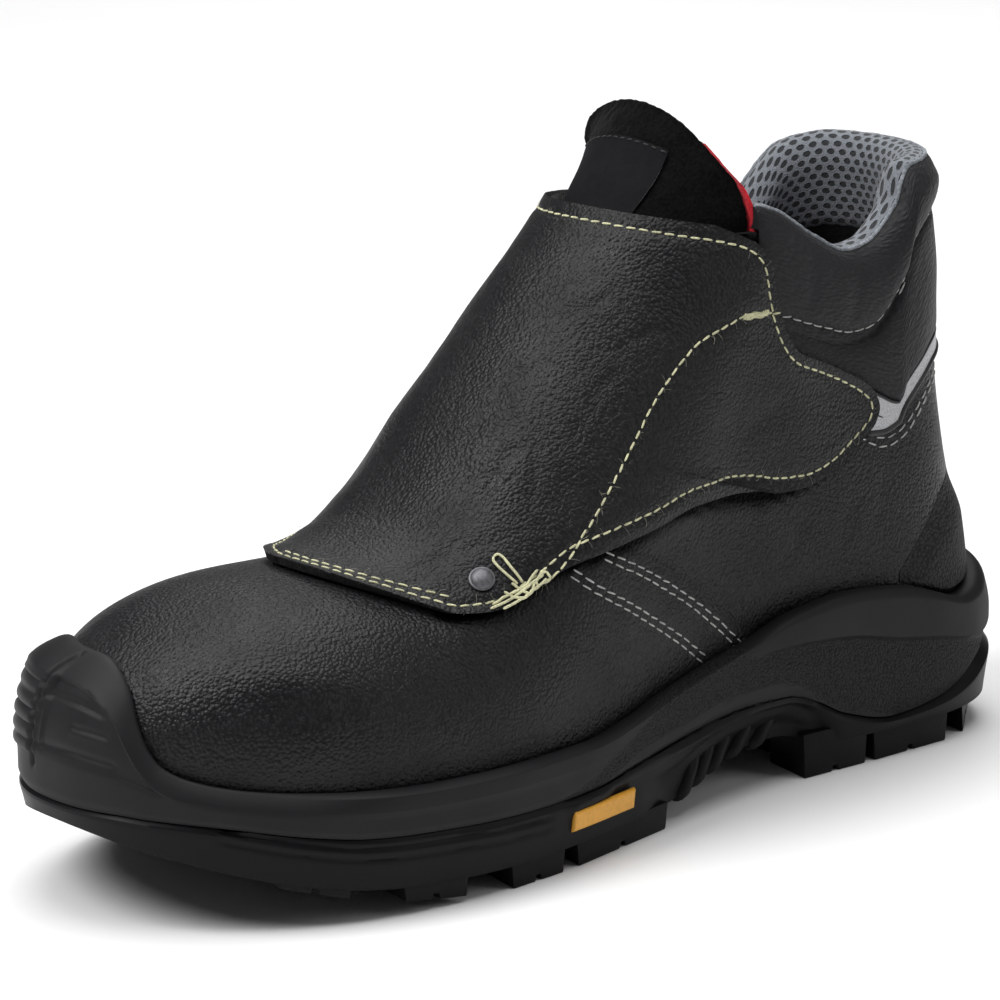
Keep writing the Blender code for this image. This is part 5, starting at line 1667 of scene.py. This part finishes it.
def stitch_tree(name, thread, sizes, seed):
    """Stitches along every row: short lengths of thread that narrow and dip into the leather at both ends."""
    tree, entry, spots = new_tree(name, sizes)
    stitch = add(tree, "GeometryNodeMeshCylinder", {
        "Vertices": 6, "Side Segments": 6, "Radius": 0.5, "Depth": 1.0})
    at = add(tree, "ShaderNodeSeparateXYZ", {
        "Vector": add(tree, "GeometryNodeInputPosition").outputs["Position"]}).outputs
    double = add(tree, "ShaderNodeMath", {0: at["Z"], 1: 2.0}, operation="MULTIPLY")
    end = add(tree, "ShaderNodeMath", {0: double, 1: 4.0}, operation="POWER")
    square = add(tree, "ShaderNodeMath", {0: end, 1: -0.9, 2: 1.0}, operation="MULTIPLY_ADD")
    thin = add(tree, "ShaderNodeMath", {0: square}, operation="SQRT")
    wide = add(tree, "ShaderNodeMath", {0: at["X"], 1: thin}, operation="MULTIPLY")
    tall = add(tree, "ShaderNodeMath", {0: at["Y"], 1: thin}, operation="MULTIPLY")
    dip = add(tree, "ShaderNodeMath", {0: end, 1: -0.7, 2: tall}, operation="MULTIPLY_ADD")
    bent = add(tree, "ShaderNodeCombineXYZ", {"X": at["Z"], "Y": wide, "Z": dip})
    laid = add(tree, "GeometryNodeSetPosition", {"Geometry": stitch, "Position": bent})
    smooth = add(tree, "GeometryNodeSetShadeSmooth", {"Geometry": laid})
    size = add(tree, "ShaderNodeCombineXYZ", {
        "X": entry["Length"], "Y": entry["Width"], "Z": entry["Height"]})
    wobble = add(tree, "FunctionNodeRandomValue", {2: -0.09, 3: 0.09, "Seed": seed}, data_type="FLOAT")
    turn = add(tree, "ShaderNodeMath", {0: entry["Turn"], 1: wobble.outputs[1]}, operation="ADD")
    copies = add(tree, "GeometryNodeInstanceOnPoints", {
        "Points": spots, "Instance": smooth,
        "Rotation": row_rotation(tree, turn), "Scale": size})
    end_tree(tree, copies, thread)
    return tree


def fibre_tree(name, thread, sizes, seed):
    """Stray fibres that stand off a row at random, with a fixed seed."""
    tree, entry, spots = new_tree(name, sizes)
    arc = add(tree, "GeometryNodeCurveQuadraticBezier", {
        "Resolution": 5, "Start": (0.0, 0.0, 0.0), "Middle": (0.35, 0.15, 0.3), "End": (1.0, 0.0, 0.1)})
    ring = add(tree, "GeometryNodeCurvePrimitiveCircle", {"Resolution": 3, "Radius": 0.011})
    hair = add(tree, "GeometryNodeCurveToMesh", {"Curve": arc, "Profile Curve": ring, "Fill Caps": True})
    spin = add(tree, "FunctionNodeRandomValue", {
        "Min": (-0.5, -0.5, -3.14), "Max": (0.5, 0.35, 3.14), "Seed": seed}, data_type="FLOAT_VECTOR")
    some = add(tree, "FunctionNodeRandomValue", {"Probability": 0.6, "Seed": seed + 1}, data_type="BOOLEAN")
    reach = add(tree, "FunctionNodeRandomValue", {2: 0.4, 3: 1.0, "Seed": seed + 2}, data_type="FLOAT")
    size = add(tree, "ShaderNodeMath", {0: reach.outputs[1], 1: entry["Length"]}, operation="MULTIPLY")
    tilt = add(tree, "FunctionNodeEulerToRotation", {"Euler": spin.outputs[0]})
    turned = add(tree, "FunctionNodeRotateRotation", {
        "Rotation": row_rotation(tree, 0.0), "Rotate By": tilt}, rotation_space="LOCAL")
    copies = add(tree, "GeometryNodeInstanceOnPoints", {
        "Points": spots, "Selection": some.outputs[3], "Instance": hair,
        "Rotation": turned, "Scale": size})
    end_tree(tree, copies, thread)
    return tree


def skin_of(name):
    """Search tree of a finished piece, to lay rows on it."""
    mesh = bpy.data.objects[name].data
    corners = [face.vertices for face in mesh.polygons]
    return BVHTree.FromPolygons([vert.co for vert in mesh.vertices], corners)


def seat_rows(rows, skin, rise):
    """Lays rows on a piece: points a millimetre apart, the outward direction at each, and their edges."""
    points, outs, edges = [], [], []
    for row in rows:
        line = even_line(np.asarray(row, float), max(int(lengths(row)[-1]), 4))
        first = len(points)
        for point in to_world(line):
            spot, out = skin.find_nearest(Vector(point))[:2]
            points.append(spot + out * (rise * MM))
            outs.append(out)
        edges += [(k, k + 1) for k in range(first, len(points) - 1)]
    return points, outs, edges


def sew(name, rows, skin_name, tree, sizes, slot, rise=0.05):
    """Rows of a Geometry Nodes tree on a piece, turned into a plain mesh."""
    points, outs, edges = seat_rows(rows, skin_of(skin_name), rise)
    guide_mesh = bpy.data.meshes.new(name + "_guide")
    guide_mesh.from_pydata(points, edges, [])
    layer = guide_mesh.attributes.new("out", "FLOAT_VECTOR", "POINT")
    layer.data.foreach_set("vector", np.array(outs, np.float32).ravel())
    guide = bpy.data.objects.new(name + "_guide", guide_mesh)
    bpy.context.scene.collection.objects.link(guide)
    grow = guide.modifiers.new("rows", "NODES")
    grow.node_group = tree
    for item in tree.interface.items_tree:
        if item.in_out == "INPUT" and item.name in sizes:
            grow[item.identifier] = sizes[item.name]
    graph = bpy.context.evaluated_depsgraph_get()
    mesh = bpy.data.meshes.new_from_object(guide.evaluated_get(graph), depsgraph=graph)
    guide.modifiers.remove(grow)
    bpy.data.objects.remove(guide)
    mesh.name = name
    add_piece(name, mesh, slot)


def build_stitching(sizes):
    stitch = {
        "Pitch": sizes.stitch_pitch, "Length": sizes.stitch_length, "Width": sizes.thread_width,
        "Height": 0.9 * sizes.thread_width, "Turn": 0.05}
    fine = dict(
        stitch, Pitch=1.22 * sizes.stitch_pitch, Length=1.24 * sizes.stitch_length,
        Width=0.85 * sizes.thread_width)

    def rows_of(name, thread, row_sizes):
        return stitch_tree(name, finish(thread), row_sizes, sizes.seed)

    flap = flap_rows() + [on_form(PATCH_ROW, LATERAL, 6.0, 80)]
    spark = rows_of("spark_rows", "aramid", stitch)
    sew("flap_stitching", flap, "spark_flap", spark, stitch, "spark_thread")
    hairs = {"Pitch": 0.001, "Length": sizes.fibre_length}
    stray = fibre_tree("stray_fibres", finish("fibre"), hairs, sizes.seed)
    sew("flap_fibres", flap, "spark_flap", stray, hairs, "spark_thread")
    tack = dict(stitch, Pitch=0.00055, Length=0.0024, Width=0.0006, Turn=1.25)
    sew("patch_tack", [on_form(PATCH_TACK, LATERAL, 6.0, 20)], "spark_flap", spark, tack, "spark_thread")

    bm = bmesh.new()
    skin = skin_of("spark_flap")
    for loop in CORNER_LOOPS:
        points = seat_rows([on_form(loop, LATERAL, 4.5, 24)], skin, 0.3)[0]
        add_tube(bm, smooth_line(from_world(points), 30), 0.36, 7)
    weld(bm)
    make_piece("corner_tack", bm, ("aramid",), "spark_thread")

    rows = []
    for side in SIDES:
        for line in VAMP_ROWS:
            for shift in (-ROW_APART, ROW_APART):
                flat = aside(smooth_line(line, 60), shift)
                rows.append(across(flat[:, 0], flat[:, 1], side, 0.6))
    seam = rows_of("seam_rows", "polyester", fine)
    sew("vamp_stitching", rows, "upper_leather", seam, fine, "seam_thread")
    rows = [pinch_row(side, 3.0) for side in SIDES]
    sew("collar_stitching", rows, "padded_collar", seam, fine, "seam_thread")
    rows = [on_form(line, side, 0.6, 60) for side in SIDES for line in HEEL_ROWS]
    heel = rows_of("heel_rows", "polyester", fine)
    sew("heel_stitching", rows, "upper_leather", heel, fine, "seam_thread")

    dark = dict(fine, Pitch=0.0026, Length=0.0021)
    plain = rows_of("label_rows", "black_thread", dark)
    sew("label_stitching", [label_line(0.93, 2.0)[2:-2]], "tongue_patch", plain, dark, "label_satin")
    heights = np.linspace(TAB_LOW + 1.5, TAB_HIGH - 1.5, 30)
    rows = [np.array([form(0.78 * TAB_TURN, z, side, 6.0) for z in heights]) for side in SIDES]
    sew("tab_stitching", rows, "back_pull_tab", plain, dark, "upper_leather")


# Stage

# Camera fitted to the photograph, with its lens in millimetres
CAMERA_LENS, CAMERA_SHIFT, CAMERA_AWAY = 162.3, (-0.041, 0.0236), 1.2
CAMERA_AIM, CAMERA_BACK = (-0.00265, 0.00043, 0.075), (0.6386, 0.7244, 0.2597)
FLOOR_REACH, LAMP_AIM = 4.0, (0.0, 0.0, 0.07)
# Softboxes: place, what each is turned to, width in metres and power in watts
SOFTBOXES = {
    "overhead_softbox": ((0.0, 0.0, 2.2), LAMP_AIM, 2.0, 36),
    "key_softbox": ((0.85, -0.25, 1.05), LAMP_AIM, 0.7, 12),
    "side_softbox": ((-0.75, 0.95, 0.75), LAMP_AIM, 0.8, 2.5),
    "backdrop_softbox": ((-1.1, -1.25, 1.6), (-1.1, -1.25, 0.0), 1.5, 17),
}


def add_light(name, spot, aim, size, power):
    data = bpy.data.lights.new(name, "AREA")
    data.shape = "DISK"
    data.size = size
    data.energy = power
    lamp = bpy.data.objects.new(name, data)
    lamp.location = spot
    lamp.rotation_mode = "QUATERNION"
    lamp.rotation_quaternion = (Vector(aim) - Vector(spot)).to_track_quat("-Z", "Y")
    bpy.context.scene.collection.objects.link(lamp)


def build_stage(looks):
    scene = bpy.context.scene
    floor_mesh = bpy.data.meshes.new("floor")
    corners = ((-1, -1), (1, -1), (1, 1), (-1, 1))
    floor_mesh.from_pydata([(FLOOR_REACH * x, FLOOR_REACH * y, 0) for x, y in corners], [], [(0, 1, 2, 3)])
    # Matt white studio board
    board, tree, shader, place = start_finish("studio_board", Roughness=0.9, Specular_IOR_Level=0.2)
    cloud = add(tree, "ShaderNodeTexNoise", {"Vector": place, "Scale": 3.0})
    tone = add(tree, "ShaderNodeMix", {
        "Factor": cloud, "A": linear("#f4f4f4"), "B": linear("#fbfbfb")}, data_type="RGBA")
    dress(shader, Base_Color=tone)
    floor_mesh.materials.append(board)
    floor = bpy.data.objects.new("floor", floor_mesh)
    scene.collection.objects.link(floor)

    world = bpy.data.worlds.new("studio")
    world.use_nodes = True
    world.node_tree.nodes["Background"].inputs["Color"].default_value = linear("#ffffff")
    world.node_tree.nodes["Background"].inputs["Strength"].default_value = looks.room_light
    scene.world = world
    for name, (spot, aim, size, power) in SOFTBOXES.items():
        add_light(name, spot, aim, size, power * looks.lamps)
    scene.view_settings.view_transform = "Standard"

    lens = bpy.data.cameras.new("photo_camera")
    lens.sensor_width = 36.0
    lens.lens = CAMERA_LENS
    lens.shift_x, lens.shift_y = CAMERA_SHIFT
    lens.clip_start, lens.clip_end = 0.05, 50.0
    camera = bpy.data.objects.new("photo_camera", lens)
    back = Vector(CAMERA_BACK).normalized()
    camera.location = Vector(CAMERA_AIM) + CAMERA_AWAY * back
    camera.rotation_mode = "QUATERNION"
    camera.rotation_quaternion = (-back).to_track_quat("-Z", "Y")
    scene.collection.objects.link(camera)
    scene.camera = camera


# Add-on

class BootSizes(bpy.types.PropertyGroup):
    """Sizes of the boot's sewing and leather"""

    stitch_pitch: FloatProperty(
        name="Stitch pitch", description="Distance from one stitch to the next",
        default=0.0034, unit="LENGTH")
    stitch_length: FloatProperty(
        name="Stitch length", description="Length of thread that shows in a stitch",
        default=0.0031, unit="LENGTH")
    thread_width: FloatProperty(
        name="Thread width", description="Width of the flap's sewing thread",
        default=0.0006, unit="LENGTH")
    fibre_length: FloatProperty(
        name="Fibre length", description="Longest stray fibre beside a row",
        default=0.003, unit="LENGTH")
    crease_depth: FloatProperty(
        name="Crease depth", description="Share of the leather's creases that shows",
        default=1.0, subtype="FACTOR")
    seed: IntProperty(name="Seed", description="Seed of the stray fibres", default=11)


class BootLooks(bpy.types.PropertyGroup):
    """Colours of the boot and light of the stage"""

    hide_colour: FloatVectorProperty(
        name="Hide", description="Colour of the dyed leather",
        default=linear("#1c1c1e"), subtype="COLOR", size=4)
    thread_colour: FloatVectorProperty(
        name="Thread", description="Colour of the flap's thread",
        default=linear("#cdcba4"), subtype="COLOR", size=4)
    felt_colour: FloatVectorProperty(
        name="Felt", description="Colour of the tongue's felt",
        default=linear("#d02030"), subtype="COLOR", size=4)
    inlay_colour: FloatVectorProperty(
        name="Inlay", description="Colour of the sole's inlay",
        default=linear("#e0a136"), subtype="COLOR", size=4)
    room_light: FloatProperty(
        name="Room light", description="Strength of the even light all round", default=0.1)
    lamps: FloatProperty(
        name="Softboxes", description="Strength of the four softboxes", default=1.0, subtype="FACTOR")


class BOOT_OT_upper(bpy.types.Operator):
    """Builds the hollow leather upper with its creases and the vamp's sewn edge"""

    bl_idname = "boot.upper"
    bl_label = "Leather upper"

    def execute(self, context):
        build_upper(context.scene.boot_sizes)
        return {"FINISHED"}


class BOOT_OT_flap(bpy.types.Operator):
    """Builds the spark flap that covers the laces"""

    bl_idname = "boot.flap"
    bl_label = "Spark flap"

    def execute(self, context):
        build_flap(context.scene.boot_sizes)
        return {"FINISHED"}


class BOOT_OT_collar(bpy.types.Operator):
    """Builds the padded collar with its mesh lining and binding"""

    bl_idname = "boot.collar"
    bl_label = "Padded collar"

    def execute(self, context):
        build_collar(context.scene.boot_sizes)
        return {"FINISHED"}


class BOOT_OT_tongue(bpy.types.Operator):
    """Builds the suede tongue with its felt back and plain label"""

    bl_idname = "boot.tongue"
    bl_label = "Tongue"

    def execute(self, context):
        build_tongue()
        return {"FINISHED"}


class BOOT_OT_heel(bpy.types.Operator):
    """Builds the heel counter, the reflective chevron with its edging, and the back tab"""

    bl_idname = "boot.heel"
    bl_label = "Heel overlays"

    def execute(self, context):
        build_heel()
        return {"FINISHED"}


class BOOT_OT_midsole(bpy.types.Operator):
    """Builds the midsole's cup with its toe bumper"""

    bl_idname = "boot.midsole"
    bl_label = "Midsole cup"

    def execute(self, context):
        build_midsole()
        return {"FINISHED"}


class BOOT_OT_outsole(bpy.types.Operator):
    """Builds the outsole with its lugs and arch fins"""

    bl_idname = "boot.outsole"
    bl_label = "Outsole"

    def execute(self, context):
        build_outsole()
        return {"FINISHED"}


class BOOT_OT_insole(bpy.types.Operator):
    """Builds the felt footbed"""

    bl_idname = "boot.insole"
    bl_label = "Insole"

    def execute(self, context):
        build_insole()
        return {"FINISHED"}


class BOOT_OT_trim(bpy.types.Operator):
    """Builds the flap's rivet and the sole's plain inlay"""

    bl_idname = "boot.trim"
    bl_label = "Rivet and inlay"

    def execute(self, context):
        build_trim()
        return {"FINISHED"}


class BOOT_OT_stitching(bpy.types.Operator):
    """Sews every row of stitches on the finished pieces"""

    bl_idname = "boot.stitching"
    bl_label = "Stitching"

    def execute(self, context):
        build_stitching(context.scene.boot_sizes)
        return {"FINISHED"}


class BOOT_OT_stage(bpy.types.Operator):
    """Sets up floor, lights and camera"""

    bl_idname = "boot.stage"
    bl_label = "Stage"

    def execute(self, context):
        build_stage(context.scene.boot_looks)
        return {"FINISHED"}


OPERATORS = (
    BOOT_OT_upper, BOOT_OT_flap, BOOT_OT_collar, BOOT_OT_tongue, BOOT_OT_heel, BOOT_OT_midsole,
    BOOT_OT_outsole, BOOT_OT_insole, BOOT_OT_trim, BOOT_OT_stitching, BOOT_OT_stage,
)


class BOOT_PT_pieces(bpy.types.Panel):
    """Lists the boot's pieces and sizes"""

    bl_idname = "BOOT_PT_pieces"
    bl_label = "Safety boot"
    bl_space_type = "VIEW_3D"
    bl_region_type = "UI"
    bl_category = "Boot"

    def draw(self, context):
        for group in (context.scene.boot_sizes, context.scene.boot_looks):
            for name in group.__annotations__:
                self.layout.prop(group, name)
        for operator in OPERATORS:
            self.layout.operator(operator.bl_idname)


CLASSES = (BootSizes, BootLooks) + OPERATORS + (BOOT_PT_pieces,)


def register():
    for made in CLASSES:
        bpy.utils.register_class(made)
    bpy.types.Scene.boot_sizes = PointerProperty(type=BootSizes)
    bpy.types.Scene.boot_looks = PointerProperty(type=BootLooks)


def unregister():
    del bpy.types.Scene.boot_looks
    del bpy.types.Scene.boot_sizes
    for made in reversed(CLASSES):
        bpy.utils.unregister_class(made)


def main():
    register()
    for operator in OPERATORS:
        group, name = operator.bl_idname.split(".")
        getattr(getattr(bpy.ops, group), name)()


if __name__ == "__main__":
    main()
